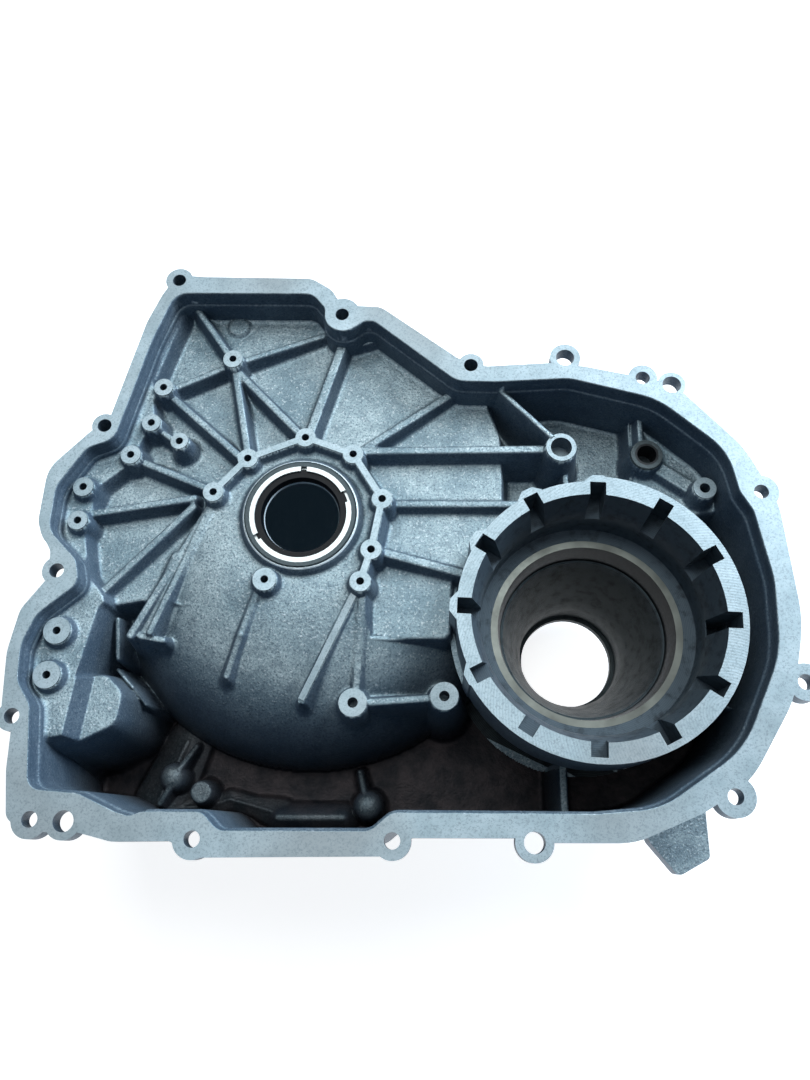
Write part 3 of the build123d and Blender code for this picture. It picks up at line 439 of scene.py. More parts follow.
def forms(points, ground, floor):
    """Every raised form in turn: distance outside its crest edge, direction, crest, draft, edge, fillet."""
    distance, away = ground["cavity"]
    yield -distance - MACHINED_EDGE, -away, HIDDEN_TOP_Z, WALL_DRAFT, MACHINED_EDGE, WALL_FILLET
    for start, end, width, start_z, end_z in RIBS:
        distance, away, crest = rib_field(points, start, end, width, start_z, end_z)
        yield distance, away, crest, RIB_DRAFT, min(RIB_EDGE, width / 2 + RIB_PROUD), FOOT_FILLET
    for x, y, radius, height, edge in ROUND_PADS:
        distance, away = round_field(points, x, y, radius + SKIN)
        yield distance, away, height + SKIN, RIB_DRAFT, edge, FOOT_FILLET
    for start, end, width, start_z, end_z, draft, edge in RIDGES:
        distance, away, crest = rib_field(points, start, end, width, start_z, end_z)
        yield distance, away, crest, draft, edge, FOOT_FILLET
    distance, away = ground["wall_pad"]
    yield distance - STEP_OFFSET, away, PLATE_Z + SKIN, RIB_DRAFT, STEP_EDGE, FOOT_FILLET
    pairs = zip(PUMP_CHAIN[:-1], PUMP_CHAIN[1:])
    chain = [(*pair, PUMP_WALL_WIDTH, PUMP_FACE_Z, PUMP_FACE_Z) for pair in pairs]
    for start, end, width, start_z, end_z in chain + list(BARE_RIBS):
        distance, away, crest = rib_field(points, start, end, width, start_z, end_z)
        distance = distance + RIB_PROUD - SKIN / 2
        sink = np.where(distance < -MACHINED_EDGE, MACHINED_SINK, 0)
        yield distance, away, crest - RIB_PROUD - MACHINED_EDGE - sink, RIB_DRAFT, MACHINED_EDGE, FOOT_FILLET
    for x, y, radius, height, _ in BOSSES:
        distance, away = round_field(points, x, y, radius + SKIN / 2)
        crest = height - MACHINED_EDGE - np.where(distance < -MACHINED_EDGE, MACHINED_SINK, 0)
        yield distance, away, crest, RIB_DRAFT, MACHINED_EDGE, FOOT_FILLET
    distance, away = round_field(points, 0, 0, SEAL_RIM_RADIUS)
    inner = distance < SEAL_BOSS_RADIUS + SKIN / 2 - SEAL_RIM_RADIUS
    crest = SEAL_BOSS_Z - MACHINED_EDGE - np.where(inner, MACHINED_SINK, 0)
    yield distance, away, crest, SEAL_BOSS_DRAFT, SEAL_RIM_EDGE, FOOT_FILLET
    radius = np.where(in_relief(points), RING_RELIEF_RADIUS, RING_OUTER_RADIUS)
    distance, away = round_field(points, RING_X, RING_Y, 0)
    high = np.where(floor > SHELF_Z, HIDDEN_TOP_Z, SUMP_Z)
    yield distance - radius - SKIN, away, high, WALL_DRAFT, MACHINED_EDGE, FOOT_FILLET


def in_relief(points):
    """Plan points that face the thinner stretch of the differential drum."""
    angles = np.degrees(np.arctan2(points[:, 1] - RING_Y, points[:, 0] - RING_X)) % 360
    return (angles > RING_RELIEF_ANGLES[0]) & (angles < RING_RELIEF_ANGLES[1])


def cast_height(points, ground):
    """Height of the cast surface: the floor, and every raised form blended over it."""
    floor = floor_height(points, ground)
    height = floor
    for distance, _, crest, draft, edge, fillet in forms(points, ground, floor):
        form, _ = shoulder(crest, floor, distance, draft, edge, fillet)
        height = blend(height, form, floor)
    return height


def settle_on_edges(points, ground):
    """Moves grid points that lie near a form's crest edge or foot onto it, along the outward direction."""
    floor = floor_height(points, ground)
    height = cast_height(points, ground)
    least = np.full(len(points), SETTLE_REACH)
    moved = points.copy()
    for distance, away, crest, draft, edge, fillet in forms(points, ground, floor):
        form, run = shoulder(crest, floor, distance, draft, edge, fillet)
        seen = (form > height - SETTLE_DEPTH) & (form > floor + SETTLE_RISE)
        for line in (0.0, run):
            miss = distance - line
            near = seen & (np.abs(miss) < least)
            least = np.where(near, np.abs(miss), least)
            moved = np.where(near[:, None], points - miss[:, None] * away, moved)
    return moved


def sheet_piece(name, corners, top, under):
    """Closed sheet between two heights over the same quads: top, turned underside and an edge band.

    The band joins the two along every edge that only one quad uses.
    """
    used, index = np.unique(corners, return_inverse=True)
    quads = index.reshape(corners.shape)
    count = len(used)
    edges = np.concatenate([quads[:, [side, (side + 1) % 4]] for side in range(4)])
    key = np.sort(edges, axis=1) @ np.array([count, 1])
    _, first, times = np.unique(key, return_index=True, return_counts=True)
    rim = edges[first[times == 1]]
    band = np.stack([rim[:, 1], rim[:, 0], rim[:, 0] + count, rim[:, 1] + count], axis=1)
    faces = np.concatenate([quads, quads[:, ::-1] + count, band])
    piece = mesh_piece(name, np.concatenate([top[used], under[used]]), faces)
    ends = np.empty(2 * len(piece.data.edges), int)
    piece.data.edges.foreach_get("vertices", ends)
    ends = np.sort(ends.reshape(-1, 2), axis=1)
    on_rim = np.zeros(2 * count, bool)
    on_rim[rim.ravel()] = True
    on_rim[rim.ravel() + count] = True
    inner = np.isin(ends @ np.array([2 * count, 1]), np.sort(rim, axis=1) @ np.array([2 * count, 1]))
    sharp = piece.data.attributes.new("sharp_edge", "BOOLEAN", "EDGE")
    sharp.data.foreach_set("value", inner | (on_rim[ends].all(axis=1) & (ends[:, 0] >= count)))
    return piece


def mesh_piece(name, places, faces):
    """Smooth mesh object from places in millimetres and faces of three or four corners."""
    mesh = bpy.data.meshes.new(name)
    mesh.from_pydata((places * MM).tolist(), [], faces.tolist())
    mesh.shade_smooth()
    piece = bpy.data.objects.new(name, mesh)
    bpy.context.scene.collection.objects.link(piece)
    return piece


def dress(piece, material):
    """Gives a new piece its material and its place on the part, under the root body."""
    piece.data.materials.clear()
    piece.data.materials.append(material)
    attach(piece, "root")
    return piece


def cast_floor_pieces(material, tiles=4):
    """The cast surface inside the perimeter wall, as closed sheets side by side.

    A square grid is moved onto the edges of the forms, and each point takes the height there.
    """
    path = OUTLINES["cavity"]
    low, high = path.min(axis=0) - GRID_MARGIN, path.max(axis=0) + GRID_MARGIN
    xs = np.arange(low[0], high[0], GRID_PITCH)
    ys = np.arange(low[1], high[1], GRID_PITCH)
    grid = np.stack(np.meshgrid(xs, ys, indexing="ij"), axis=-1).reshape(-1, 2)
    kept = path_distance(grid, path)[0] < WALL_OVERLAP
    ring = np.hypot(grid[:, 0] - RING_X, grid[:, 1] - RING_Y)
    thin, full = RING_RELIEF_RADIUS - TURNED_OVERLAP, RING_OUTER_RADIUS - 2 * TURNED_OVERLAP
    kept &= ring > np.where(in_relief(grid), thin, full)
    kept &= np.hypot(grid[:, 0], grid[:, 1]) > SEAL_BOSS_RADIUS - TURNED_OVERLAP
    for x, y, radius, _, hole in BOSSES:
        kept &= np.hypot(grid[:, 0] - x, grid[:, 1] - y) > (radius + hole) / 2
    points = grid[kept]
    points = settle_on_edges(points, survey(points))
    height = cast_height(points, survey(points))
    number = np.full(len(grid), -1)
    number[kept] = np.arange(kept.sum())
    number = number.reshape(len(xs), len(ys))
    quads = np.stack([number[:-1, :-1], number[1:, :-1], number[1:, 1:], number[:-1, 1:]], axis=-1)
    columns = np.repeat(np.arange(len(xs) - 1), len(ys) - 1)
    quads = quads.reshape(-1, 4)
    whole = (quads >= 0).all(axis=1)
    quads, columns = quads[whole], columns[whole]
    top = np.column_stack([points, height])
    under = np.column_stack([points, height - SKIN_DEPTH])
    marks = np.quantile(columns, np.linspace(0, 1, tiles + 1))
    for tile in range(tiles):
        last = columns <= marks[tile + 1] if tile == tiles - 1 else columns < marks[tile + 1]
        part = quads[(columns >= marks[tile]) & last]
        dress(sheet_piece("cast_floor_" + str(tile + 1), part, top, under), material)


def even_path(path, step):
    """The same closed path at even steps."""
    closed = np.vstack([path, path[:1]])
    marks = np.concatenate([[0], np.cumsum(np.linalg.norm(np.diff(closed, axis=0), axis=1))])
    at = np.linspace(0, marks[-1], int(marks[-1] / step), endpoint=False)
    return np.column_stack([np.interp(at, marks, closed[:, axis]) for axis in (0, 1)])


def ring_faces(rows, columns):
    """Quads of a grid that closes on itself both ways: rows round the path, columns round the profile."""
    row, column = np.meshgrid(np.arange(rows), np.arange(columns), indexing="ij")
    ahead, beside = (row + 1) % rows, (column + 1) % columns
    corners = (row, column), (ahead, column), (ahead, beside), (row, beside)
    return np.stack([one * columns + two for one, two in corners], axis=-1).reshape(-1, 4)


def wall_lining(material, step=1.4, rows=10):
    """Inside of the perimeter wall: a drafted profile carried round the cavity's edge.

    The front leans in by the draft as it goes down to just under the floor, with a small rounded ledge
    part of the way down; the back lies in the wall.
    """
    path = even_path(OUTLINES["cavity"], step)
    tangent = unit(np.roll(path, -2, axis=0) - np.roll(path, 2, axis=0))
    area = np.sum(path[:, 0] * np.roll(path[:, 1], -1) - path[:, 1] * np.roll(path[:, 0], -1))
    inward = np.stack([-tangent[:, 1], tangent[:, 0]], axis=1) * np.sign(area)
    probe = path + FLOOR_PROBE * inward
    foot = floor_height(probe, survey(probe)) - LINING_SINK
    down = np.minimum(LEDGE_ROWS, (LINING_TOP_Z - foot)[:, None])
    rest = np.maximum(LINING_TOP_Z - foot - LEDGE_ROWS[-1], 0)
    down = np.hstack([down, down[:, -1:] + rest[:, None] * np.linspace(0, 1, rows)[1:]])
    step_in = np.clip((down - LEDGE_DEPTH) / LEDGE_RUN, 0, 1)
    ledge = LEDGE_REACH * step_in * step_in * (3 - 2 * step_in)
    reach = MACHINED_EDGE + LINING_GAP + down * WALL_DRAFT + ledge
    reach[:, 0] = -LINING_LIP
    front = [path + inward * reach[:, row:row + 1] for row in range(down.shape[1])]
    back = [path - inward * LINING_BACK] * 2
    heights = [LINING_TOP_Z - down[:, row] for row in range(down.shape[1])]
    heights += [foot, np.full(len(path), LINING_TOP_Z)]
    columns = [np.column_stack(pair) for pair in zip(front + back, heights)]
    places = np.stack(columns, axis=1).reshape(-1, 3)
    faces = ring_faces(len(path), len(columns))
    if area > 0:
        faces = faces[:, ::-1]
    dress(mesh_piece("wall_lining", places, faces), material)


def turned_piece(name, profile, segments=240):
    """Closed profile of radius and height turned about the converter axis."""
    profile = np.array(profile, float)
    angles = np.linspace(0, 2 * math.pi, segments, endpoint=False)
    places = np.stack([
        np.outer(np.cos(angles), profile[:, 0]),
        np.outer(np.sin(angles), profile[:, 0]),
        np.broadcast_to(profile[:, 1], (segments, len(profile))),
    ], axis=-1).reshape(-1, 3)
    area = np.sum(profile[:, 0] * np.roll(profile[:, 1], -1) - profile[:, 1] * np.roll(profile[:, 0], -1))
    faces = ring_faces(segments, len(profile))
    return mesh_piece(name, places, faces if area > 0 else faces[:, ::-1])


def bell_lining(material, steps=28):
    """Smooth inside of the bell: a quarter ellipse from the crown down to the shoulder."""
    turns = np.linspace(0, math.pi / 2, steps)
    rise, reach = BELL_CROWN_Z - BELL_SHOULDER_Z, BELL_MOUTH_RADIUS - BELL_CROWN_RADIUS

    def line(inset):
        radii = BELL_CROWN_RADIUS + (reach - inset) * np.sin(turns)
        heights = BELL_SHOULDER_Z + (rise - inset) * np.cos(turns)
        return np.column_stack([radii, heights])

    front, back = line(BELL_FRONT), line(-BELL_BACK)
    crown = [[BELL_OPENING_RADIUS, BELL_CROWN_Z - BELL_FRONT]]
    hidden = [[BELL_OPENING_RADIUS, BELL_CROWN_Z + BELL_BACK]]
    profile = np.concatenate([crown, front, back[::-1], hidden])
    dress(turned_piece("bell_lining", profile), material)


def housing_piece(material, bore_material):
    """The casting itself: the frame's own triangles with their doubles merged and smooth curves.

    A face belongs to the bore when it lies within the slots' reach of the differential axis, between
    the two ends of the tower, and doesn't face away from that axis.
    """
    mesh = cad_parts["bell_housing"].data.copy()
    mesh.name = "housing_casting"
    shape = bmesh.new()
    shape.from_mesh(mesh)
    bmesh.ops.remove_doubles(shape, verts=shape.verts, dist=MERGE_DISTANCE)
    for edge in shape.edges:
        edge.smooth = len(edge.link_faces) == 2 and edge.calc_face_angle(0) < SHARP_ANGLE
    for face in shape.faces:
        face.smooth = True
    shape.to_mesh(mesh)
    shape.free()
    piece = bpy.data.objects.new("housing_casting", mesh)
    bpy.context.scene.collection.objects.link(piece)
    even = piece.modifiers.new("even_normals", "WEIGHTED_NORMAL")
    even.keep_sharp = True
    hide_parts("bell_housing")
    dress(piece, material)
    mesh.materials.append(bore_material)
    centres, normals = np.empty(3 * len(mesh.polygons)), np.empty(3 * len(mesh.polygons))
    mesh.polygons.foreach_get("center", centres)
    mesh.polygons.foreach_get("normal", normals)
    centres, normals = centres.reshape(-1, 3) / MM, normals.reshape(-1, 3)
    arms = centres[:, :2] - (RING_X, RING_Y)
    facing = (arms * normals[:, :2]).sum(axis=1)
    bore = (np.hypot(arms[:, 0], arms[:, 1]) < BORE_RADIUS) & (facing < BORE_FACING)
    bore &= (centres[:, 2] > BORE_LOW_Z) & (centres[:, 2] < BORE_TOP_Z)
    mesh.polygons.foreach_set("material_index", bore.astype(int))


# Colours of the casting and of its milled and turned faces
CAST_LOW = (0.20, 0.29, 0.34)
CAST_HIGH = (0.39, 0.50, 0.55)
CAST_STAIN = (0.09, 0.14, 0.18)
# light colour of the sand grain's specks, also used for the painted highlights on the seal boss's rim and
# the seal lip's edge
CAST_SPECK_AND_HIGHLIGHT = (0.72, 0.82, 0.88)
# painted shade: dark blue that steep cast faces are tinted towards
CAST_STEEP_PAINTED_SHADE = (0.045, 0.070, 0.115)
BOSS_DARK = (0.040, 0.060, 0.070)
# oil stains and painted shade of the deep floors, dark and brown; the dark one is also the bore's grime
OIL_AND_SHADE_DARK = (0.010, 0.011, 0.014)
OIL_AND_SHADE_BROWN = (0.032, 0.028, 0.031)
MILLED_LOW = (0.26, 0.35, 0.40)
MILLED_HIGH = (0.37, 0.47, 0.53)
MILLED_MARK = (0.15, 0.20, 0.23)
MILLED_BROWN = (0.21, 0.23, 0.24)
# turned bore: darker low down and lighter near the top, as painted shade
BORE_LOW = (0.030, 0.042, 0.046)
BORE_HIGH = (0.065, 0.092, 0.118)
BORE_LINE = (0.10, 0.13, 0.15)
# painted shade: near black on the cup's taper
CUP_TAPER_PAINTED_SHADE = (0.012, 0.015, 0.018)
CUP_RIM_LOW = (0.09, 0.10, 0.095)
CUP_RIM_HIGH = (0.16, 0.18, 0.17)
SEAL_METAL = (0.54, 0.60, 0.62)
SEAL_RUBBER = (0.004, 0.006, 0.009)
SPRING_METAL = (0.6, 0.62, 0.64)
SLEEVE_METAL = (0.022, 0.026, 0.030)
FLOOR_PALE = (0.8, 0.8, 0.8)
FLOOR_GLOW = (1.0, 1.0, 1.0)
# faint painted blue glow of the floor under the bell
UNDER_BELL_PAINTED_GLOW = (0.3, 0.65, 1.0)

# Where the finishes change: heights, and radii about their axes
# heights between which the oil stains and painted shade fade out upwards
OIL_AND_SHADE_Z = 61.0
CLEAN_AND_LIT_Z = 130.0
MILLED_Z = 138.5
ENGINE_FACE_Z = 0.5
SEAL_FINISH_Z = 158.0
SEAL_FACE_RADIUS = 36.6
# outer radius of the painted highlight on the seal boss's rim
SEAL_RIM_HIGHLIGHT_RADIUS = 37.6
SEAL_MILLED_RADIUS = 38.0
SLEEVE_BOSS_RADIUS = 10.8
SLEEVE_MILLED_RADIUS = 12.5
# radius up to which the seal lip's inner edge carries a painted highlight
SEAL_LIP_HIGHLIGHT_RADIUS = 24.6
RING_MARKS_RADIUS = 92.0
# heights over which the bore's painted shade lightens upwards
BORE_PAINTED_SHADE_LOW_Z = 100.0
BORE_PAINTED_SHADE_HIGH_Z = 130.0
UNDER_BELL_RADIUS = 150.0

# Noise scales, from the coarsest up
MILLED_BROWN_SCALE = 9
BLOTCH_SCALE = 26
CUP_STAIN_SCALE = 40
MILLED_CLOUD_SCALE = 60
OIL_SCALE = 90
CLOUD_SCALE = 110
GRIME_SCALE = 120
CUP_GRAIN_SCALE = 500
SAND_GRAIN_SCALE = 620
SAND_SPECK_SCALE = 700
MILLED_SPECK_SCALE = 900

# Lines of the milling cutter, with the middle of its sweep, and of the lathe, in radians per metre
MILLED_SWEEP = 3600
SWEEP_X = RING_X + 70
SWEEP_Y = RING_Y - 60
LATHE_LINES = 5200

# Depth of the grain's relief in metres, gloss of dull surfaces, and upward parts of a face's direction
# at which it counts as level, and at which the painted shade on steep faces begins and is full
SKIN_RELIEF = 0.0009
CASTING_RELIEF = 0.0008
LATHE_RELIEF = 0.00004
DULL_SHINE = 0.12
LEVEL_FACE = 0.985
CUP_LEVEL_FACE = 0.9
STEEP_FROM = 0.90
STEEP_FULL = 0.62


class Finish:
    """Node material: each call adds a node, wires the sockets given to it and returns its first output."""

    def __init__(self, name, metallic, roughness, colour):
        self.material = bpy.data.materials.new(name)
        self.material.use_nodes = True
        self.tree = self.material.node_tree
        self.shader = self.tree.nodes["Principled BSDF"]
        self.coordinates = self.tree.nodes.new("ShaderNodeTexCoord").outputs["Object"]
        self.set("Metallic", metallic)
        self.set("Roughness", roughness)
        self.set("Base Color", (*colour, 1))

    def set(self, name, value):
        self.wire(self.shader.inputs[name], value)

    def wire(self, socket, value):
        if isinstance(value, bpy.types.NodeSocket):
            self.tree.links.new(value, socket)
        else:
            socket.default_value = value

    def node(self, kind, inputs, **settings):
        node = self.tree.nodes.new("ShaderNode" + kind)
        for name, value in settings.items():
            setattr(node, name, value)
        for name, value in inputs.items():
            self.wire(node.inputs[name], value)
        return node

    def noise(self, scale, detail=3.0, roughness=0.55):
        inputs = {"Vector": self.coordinates, "Scale": scale, "Detail": detail, "Roughness": roughness}
        return self.node("TexNoise", inputs).outputs[0]

    def spread(self, value, low, high, to_low, to_high):
        inputs = {"Value": value, "From Min": low, "From Max": high, "To Min": to_low, "To Max": to_high}
        return self.node("MapRange", inputs).outputs[0]

    def mix(self, share, one, two):
        node = self.node("Mix", {}, data_type="RGBA")
        for socket, value in zip((node.inputs[0], node.inputs[6], node.inputs[7]), (share, one, two)):
            self.wire(socket, (*value, 1) if isinstance(value, tuple) else value)
        return node.outputs[2]

    def maths(self, operation, one, two=0.0):
        node = self.node("Math", {}, operation=operation)
        self.wire(node.inputs[0], one)
        self.wire(node.inputs[1], two)
        return node.outputs[0]

    def bump(self, height, strength, distance):
        inputs = {"Height": height, "Strength": strength, "Distance": distance}
        self.set("Normal", self.node("Bump", inputs).outputs[0])

    def height(self):
        return self.node("SeparateXYZ", {"Vector": self.coordinates}).outputs[2]

    def steepness(self):
        normal = self.tree.nodes.new("ShaderNodeNewGeometry").outputs["Normal"]
        up = self.maths("ABSOLUTE", self.node("SeparateXYZ", {"Vector": normal}).outputs[2])
        return self.spread(up, STEEP_FROM, STEEP_FULL, 0, 1)

    def arm(self, x, y):
        shift = (-x * MM, -y * MM, 0)
        arm = self.node("VectorMath", {0: self.coordinates, 1: shift}, operation="ADD").outputs[0]
        return self.node("VectorMath", {0: arm, 1: (1, 1, 0)}, operation="MULTIPLY").outputs[0]

    def reach(self, x, y):
        return self.node("VectorMath", {0: self.arm(x, y)}, operation="LENGTH").outputs["Value"]

    def within(self, x, y, radius):
        return self.maths("LESS_THAN", self.reach(x, y), radius * MM)

    def beyond(self, x, y, radius):
        return self.maths("GREATER_THAN", self.reach(x, y), radius * MM)

    def above(self, z):
        return self.maths("GREATER_THAN", self.height(), z * MM)

    def both(self, first, *others):
        for other in others:
            first = self.maths("MULTIPLY", first, other)
        return first


def sand_cast(look, grain):
    """Colour of the cast skin: cool grey blotches and clouds with fine dark and light specks, and painted
    shade that darkens it where it is steep.

    The face of the seal's boss is dark inside a painted highlight on its thin rim, and the sleeve's boss is
    dark.
    """
    blotch = look.noise(BLOTCH_SCALE, 3)
    cloud = look.noise(CLOUD_SCALE, 4, 0.65)
    speck = look.noise(SAND_SPECK_SCALE, 3, 0.75)
    colour = look.mix(look.spread(blotch, 0.35, 0.65, 0, 1), CAST_LOW, CAST_HIGH)
    colour = look.mix(look.spread(cloud, 0.42, 0.72, 0, 0.55), colour, CAST_STAIN)
    colour = look.mix(look.spread(speck, 0.52, 0.36, 0, 0.9), colour, CAST_STAIN)
    colour = look.mix(look.spread(grain, 0.56, 0.72, 0, 0.7), colour, CAST_SPECK_AND_HIGHLIGHT)
    # painted shade: the steeper the face, the more it is darkened
    colour = look.mix(look.spread(look.steepness(), 0, 1, 0, 0.72), colour, CAST_STEEP_PAINTED_SHADE)
    boss = look.above(SEAL_FINISH_Z)
    # painted highlight: a thin light ring on the rounded rim of the seal's boss
    colour = look.mix(look.both(boss, look.within(0, 0, SEAL_RIM_HIGHLIGHT_RADIUS)), colour, CAST_SPECK_AND_HIGHLIGHT)
    seal_boss = look.both(boss, look.within(0, 0, SEAL_FACE_RADIUS))
    sleeve_boss = look.within(*SLEEVE, SLEEVE_BOSS_RADIUS)
    return look.mix(look.maths("MAXIMUM", seal_boss, sleeve_boss), colour, BOSS_DARK)


def cast_skin():
    """Sand-grained die-cast aluminium, darker and browner towards the bottom: oil stains and painted shade
    of the deep floors.
    """
    look = Finish("cast_skin", 0.45, 0.45, CAST_HIGH)
    look.set("Specular IOR Level", DULL_SHINE)
    grain = look.noise(SAND_GRAIN_SCALE, 4, 0.6)
    oil = look.noise(OIL_SCALE, 4, 0.6)
    # darker towards the bottom: oil stains together with painted shade of the deep floors
    oil_and_shade = look.mix(look.spread(oil, 0.35, 0.65, 0, 1), OIL_AND_SHADE_DARK, OIL_AND_SHADE_BROWN)
    clean_and_lit = look.spread(look.height(), OIL_AND_SHADE_Z * MM, CLEAN_AND_LIT_Z * MM, 0, 1)
    look.set("Base Color", look.mix(clean_and_lit, oil_and_shade, sand_cast(look, grain)))
    look.set("Metallic", look.spread(look.steepness(), 0, 1, 0.42, 0))
    look.set("Roughness", look.spread(grain, 0.3, 0.7, 0.34, 0.50))
    look.bump(grain, 0.5, SKIN_RELIEF)
    return look.material


def housing_finish():
    """The bare casting: sand grain outside and bright milled level faces at its two ends."""
    look = Finish("cast_and_milled", 0.45, 0.45, CAST_HIGH)
    grain = look.noise(SAND_GRAIN_SCALE, 4, 0.6)
    cloud = look.noise(MILLED_CLOUD_SCALE, 4, 0.6)
    normal = look.tree.nodes.new("ShaderNodeNewGeometry").outputs["True Normal"]
    level = look.node("SeparateXYZ", {"Vector": normal}).outputs[2]
    level = look.maths("GREATER_THAN", look.maths("ABSOLUTE", level), LEVEL_FACE)
    engine_end = look.maths("LESS_THAN", look.height(), ENGINE_FACE_Z * MM)
    face = look.maths("MAXIMUM", look.above(MILLED_Z), engine_end)
    off_sleeve = look.beyond(*SLEEVE, SLEEVE_MILLED_RADIUS)
    off_seal = look.beyond(0, 0, SEAL_MILLED_RADIUS)
    milled = look.both(level, face, off_sleeve, off_seal)
    on_ring = look.within(RING_X, RING_Y, RING_MARKS_RADIUS)
    sweep = look.maths("SINE", look.maths("MULTIPLY", look.reach(SWEEP_X, SWEEP_Y), MILLED_SWEEP))
    bright = look.mix(look.spread(cloud, 0.3, 0.7, 0, 1), MILLED_LOW, MILLED_HIGH)
    brown = look.noise(MILLED_BROWN_SCALE, 2)
    bright = look.mix(look.spread(brown, 0.48, 0.70, 0, 0.6), bright, MILLED_BROWN)
    speck = look.noise(MILLED_SPECK_SCALE, 3, 0.75)
    bright = look.mix(look.spread(speck, 0.50, 0.36, 0, 0.7), bright, MILLED_MARK)
    bright = look.mix(look.both(on_ring, look.spread(sweep, 0.2, 1, 0, 0.3)), bright, MILLED_MARK)
    look.set("Base Color", look.mix(milled, sand_cast(look, grain), bright))
    look.set("Roughness", look.spread(grain, 0.3, 0.7, 0.38, 0.52))
    cast = look.maths("MULTIPLY", look.maths("SUBTRACT", 1, milled), grain)
    marks = look.maths("MULTIPLY", look.both(milled, on_ring), look.maths("MULTIPLY", sweep, 0.03))
    look.bump(look.maths("ADD", cast, marks), 0.5, CASTING_RELIEF)
    return look.material


def bore_finish():
    """Dark turned inside of the differential tower, darker further down as painted shade, with fine lines
    round its axis and a little grime.
    """
    look = Finish("turned_bore", 0.2, 0.5, BORE_LOW)
    look.set("Specular IOR Level", DULL_SHINE)
    z = look.height()
    grime = look.noise(GRIME_SCALE, 4, 0.65)
    along = look.maths("ADD", z, look.reach(RING_X, RING_Y))
    turned = look.maths("SINE", look.maths("MULTIPLY", along, LATHE_LINES))
    # painted shade: the bore gets darker further down
    shade = look.spread(z, BORE_PAINTED_SHADE_LOW_Z * MM, BORE_PAINTED_SHADE_HIGH_Z * MM, 0, 1)
    dark = look.mix(shade, BORE_LOW, BORE_HIGH)
    dark = look.mix(look.spread(turned, 0.5, 1, 0, 0.5), dark, BORE_LINE)
    look.set("Base Color", look.mix(look.spread(grime, 0.5, 0.7, 0, 0.6), dark, OIL_AND_SHADE_DARK))
    look.set("Roughness", look.spread(grime, 0.3, 0.7, 0.40, 0.55))
    look.bump(turned, 0.5, LATHE_RELIEF)
    return look.material


def cup_finish():
    """Ground bearing race: brownish on its level rim, and nearly black down its taper as painted shade."""
    look = Finish("bearing_steel", 0.85, 0.25, CUP_RIM_LOW)
    normal = look.tree.nodes.new("ShaderNodeNewGeometry").outputs["True Normal"]
    up = look.node("SeparateXYZ", {"Vector": normal}).outputs[2]
    level = look.maths("GREATER_THAN", up, CUP_LEVEL_FACE)
    stain = look.noise(CUP_STAIN_SCALE, 3)
    rim = look.mix(look.spread(stain, 0.35, 0.65, 0, 1), CUP_RIM_LOW, CUP_RIM_HIGH)
    # painted shade: every face that isn't level is near black
    look.set("Base Color", look.mix(level, CUP_TAPER_PAINTED_SHADE, rim))
    look.set("Roughness", look.spread(look.noise(CUP_GRAIN_SCALE, 2), 0.3, 0.7, 0.30, 0.40))
    return look.material


def plain_metal(name, colour, metallic, roughness, grain_scale, depth, shine=0.5, edge=None):
    """Metal or rubber with a fine grain in its colour, roughness and relief.

    Where an edge radius is given, the part within that radius of the converter axis is painted light: a
    painted highlight along the edge.
    """
    look = Finish(name, metallic, roughness, colour)
    look.set("Specular IOR Level", shine)
    grain = look.noise(grain_scale, 3)
    darker = tuple(0.7 * channel for channel in colour)
    shade = look.mix(look.spread(grain, 0.35, 0.65, 0, 1), darker, colour)
    # painted highlight along the inner edge
    if edge:
        shade = look.mix(look.within(0, 0, edge), shade, CAST_SPECK_AND_HIGHLIGHT)
    look.set("Base Color", shade)
    look.set("Roughness", look.spread(grain, 0.3, 0.7, roughness - 0.06, roughness + 0.08))
    look.bump(grain, 0.2, depth)
    return look.material


def seen_directly(tree):
    """1 to a ray of the camera, of gloss or of glass, else 0: the greatest of the three ray flags."""
    path = tree.nodes.new("ShaderNodeLightPath").outputs
    seen = path["Is Camera Ray"]
    for ray in ("Is Glossy Ray", "Is Transmission Ray"):
        greatest = tree.nodes.new("ShaderNodeMath")
        greatest.operation = "MAXIMUM"
        tree.links.new(seen, greatest.inputs[0])
        tree.links.new(path[ray], greatest.inputs[1])
        seen = greatest.outputs[0]
    return seen


# Floor: half its side in metres, how bright the faint painted blue glow under the bell shows, and how bright
# the floor shows outside it
FLOOR_HALF_SIZE = 3.0
UNDER_BELL_PAINTED_GLOW_STRENGTH = 0.012
FLOOR_STRENGTH = 0.85


def stage_floor():
    """Plain pale floor that shows white to the camera and keeps a soft shadow; under the bell it shows a
    faint painted blue glow.
    """
    mesh = bpy.data.meshes.new("studio_floor")
    half = FLOOR_HALF_SIZE
    corners = [(-half, -half, 0), (half, -half, 0), (half, half, 0), (-half, half, 0)]
    mesh.from_pydata(corners, [], [(0, 1, 2, 3)])
    floor = bpy.data.objects.new("studio_floor", mesh)
    bpy.context.scene.collection.objects.link(floor)
    look = Finish("pale_floor", 0.0, 0.9, FLOOR_PALE)
    outside = look.beyond(0, 0, UNDER_BELL_RADIUS)
    # painted glow: under the bell the floor faintly glows blue
    look.set("Emission Color", look.mix(outside, UNDER_BELL_PAINTED_GLOW, FLOOR_GLOW))
    strength = look.spread(outside, 0, 1, UNDER_BELL_PAINTED_GLOW_STRENGTH, FLOOR_STRENGTH)
    look.set("Emission Strength", look.maths("MULTIPLY", seen_directly(look.tree), strength))
    mesh.materials.append(look.material)


# Light beside the soft boxes, as the part's diffuse faces meet it and as the camera and gloss see it
WORLD_FILL = (0.048, 0.074, 0.105, 1)
WORLD_WHITE = (1, 1, 1, 1)

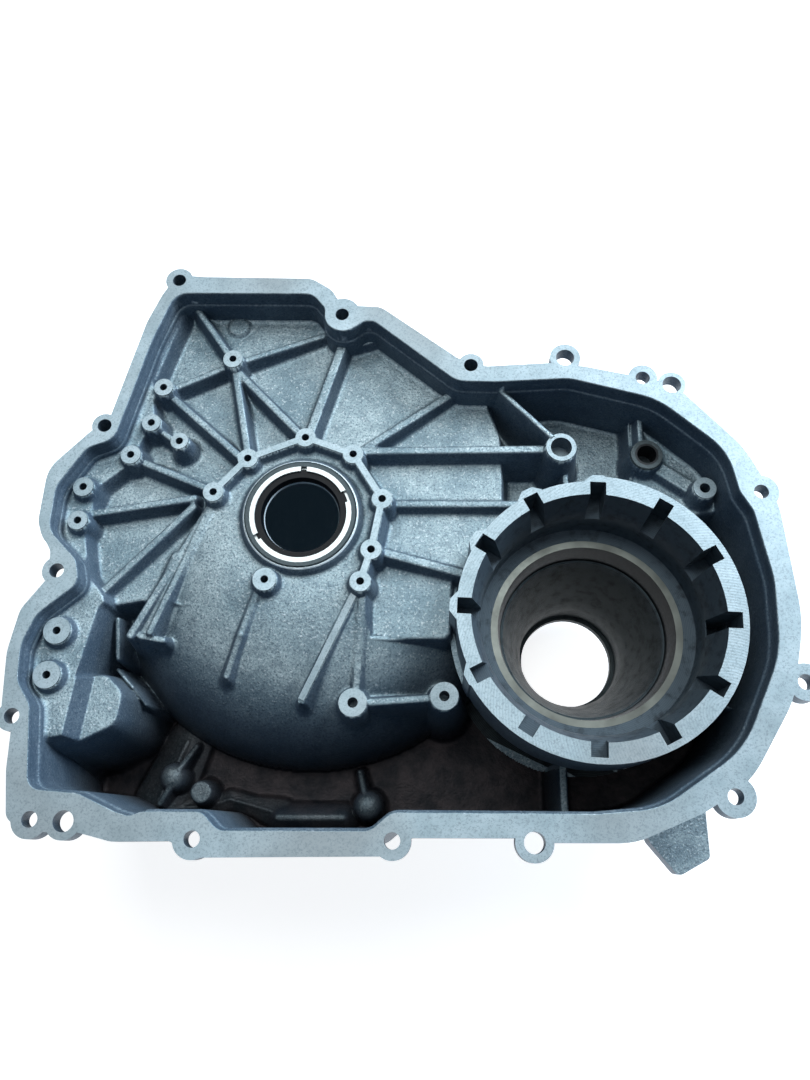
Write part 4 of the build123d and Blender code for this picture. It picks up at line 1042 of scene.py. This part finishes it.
# Soft boxes, all aimed at one place: name, place in metres, side length, power in watts, tint
LAMP_AIM = (0.06, -0.02, 0.15)
LAMPS = (
    ("main_box", (1.20, 1.02, 1.42), 0.8, 33.0, (0.88, 0.96, 1.0)),
    ("side_box", (1.95, 1.10, 0.52), 1.0, 35.0, (0.55, 0.75, 1.0)),
    ("top_box", (-0.15, 0.60, 1.95), 0.9, 13.5, (0.97, 1.0, 0.98)),
)

# Camera fitted to the photograph: place in metres, turns about Z, X and Z in degrees, and its focal
# length in pixels of a picture 1080 pixels high
CAMERA_PLACE = (0.0858, -0.2080, 0.7032)
CAMERA_TURNS = (5.5, 19.39, -5.64)
FOCAL_PIXELS = 902.1
PHOTO_HEIGHT = 1080
SENSOR = 36


def world_light():
    """Plain white background to the camera, gloss and glass, and a faint fill to everything else."""
    world = bpy.data.worlds.new("studio_world")
    bpy.context.scene.world = world
    world.use_nodes = True
    tree = world.node_tree
    mixed = tree.nodes.new("ShaderNodeMix")
    mixed.data_type = "RGBA"
    mixed.inputs[6].default_value = WORLD_FILL
    mixed.inputs[7].default_value = WORLD_WHITE
    tree.links.new(seen_directly(tree), mixed.inputs[0])
    tree.links.new(mixed.outputs[2], tree.nodes["Background"].inputs["Color"])


def soft_boxes():
    """Square area lamps that all face the same place on the part."""
    for name, place, size, power, tint in LAMPS:
        lamp = bpy.data.lights.new(name, "AREA")
        lamp.shape = "SQUARE"
        lamp.size = size
        lamp.energy = power
        lamp.color = tint
        box = bpy.data.objects.new(name, lamp)
        bpy.context.scene.collection.objects.link(box)
        facing = (Vector(LAMP_AIM) - Vector(place)).to_track_quat("-Z", "Y").to_matrix().to_4x4()
        box.matrix_world = Matrix.Translation(place) @ facing


def photo_camera():
    """Camera at the photograph's angle."""
    lens = bpy.data.cameras.new("photo_camera")
    lens.sensor_width = SENSOR
    lens.lens = FOCAL_PIXELS / PHOTO_HEIGHT * SENSOR
    camera = bpy.data.objects.new("photo_camera", lens)
    bpy.context.scene.collection.objects.link(camera)
    turn = Matrix.Identity(4)
    for degrees, axis in zip(CAMERA_TURNS, "ZXZ"):
        turn = turn @ Matrix.Rotation(math.radians(degrees), 4, axis)
    camera.matrix_world = Matrix.Translation(CAMERA_PLACE) @ turn
    bpy.context.scene.camera = camera
    bpy.context.scene.view_settings.view_transform = "Standard"


cast = cast_skin()
housing_piece(housing_finish(), bore_finish())
cast_floor_pieces(cast)
wall_lining(cast)
bell_lining(cast)
NODE_FINISHES = {
    "diff_bearing_cup": cup_finish(),
    "converter_seal_case": plain_metal("seal_steel", SEAL_METAL, 0.6, 0.35, 700, 0.0001),
    # the lip's inner edge carries a painted highlight
    "converter_seal_lip": plain_metal(
        "seal_rubber", SEAL_RUBBER, 0.0, 0.4, 800, 0.0002, DULL_SHINE, SEAL_LIP_HIGHLIGHT_RADIUS
    ),
    "converter_seal_spring": plain_metal("spring_steel", SPRING_METAL, 1.0, 0.3, 900, 0.0001),
    "shaft_sleeve": plain_metal("dark_steel", SLEEVE_METAL, 0.5, 0.4, 700, 0.0001, 0.2),
}
for name, material in NODE_FINISHES.items():
    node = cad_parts[name]
    node.data.materials.clear()
    node.data.materials.append(material)
stage_floor()
world_light()
soft_boxes()
photo_camera()
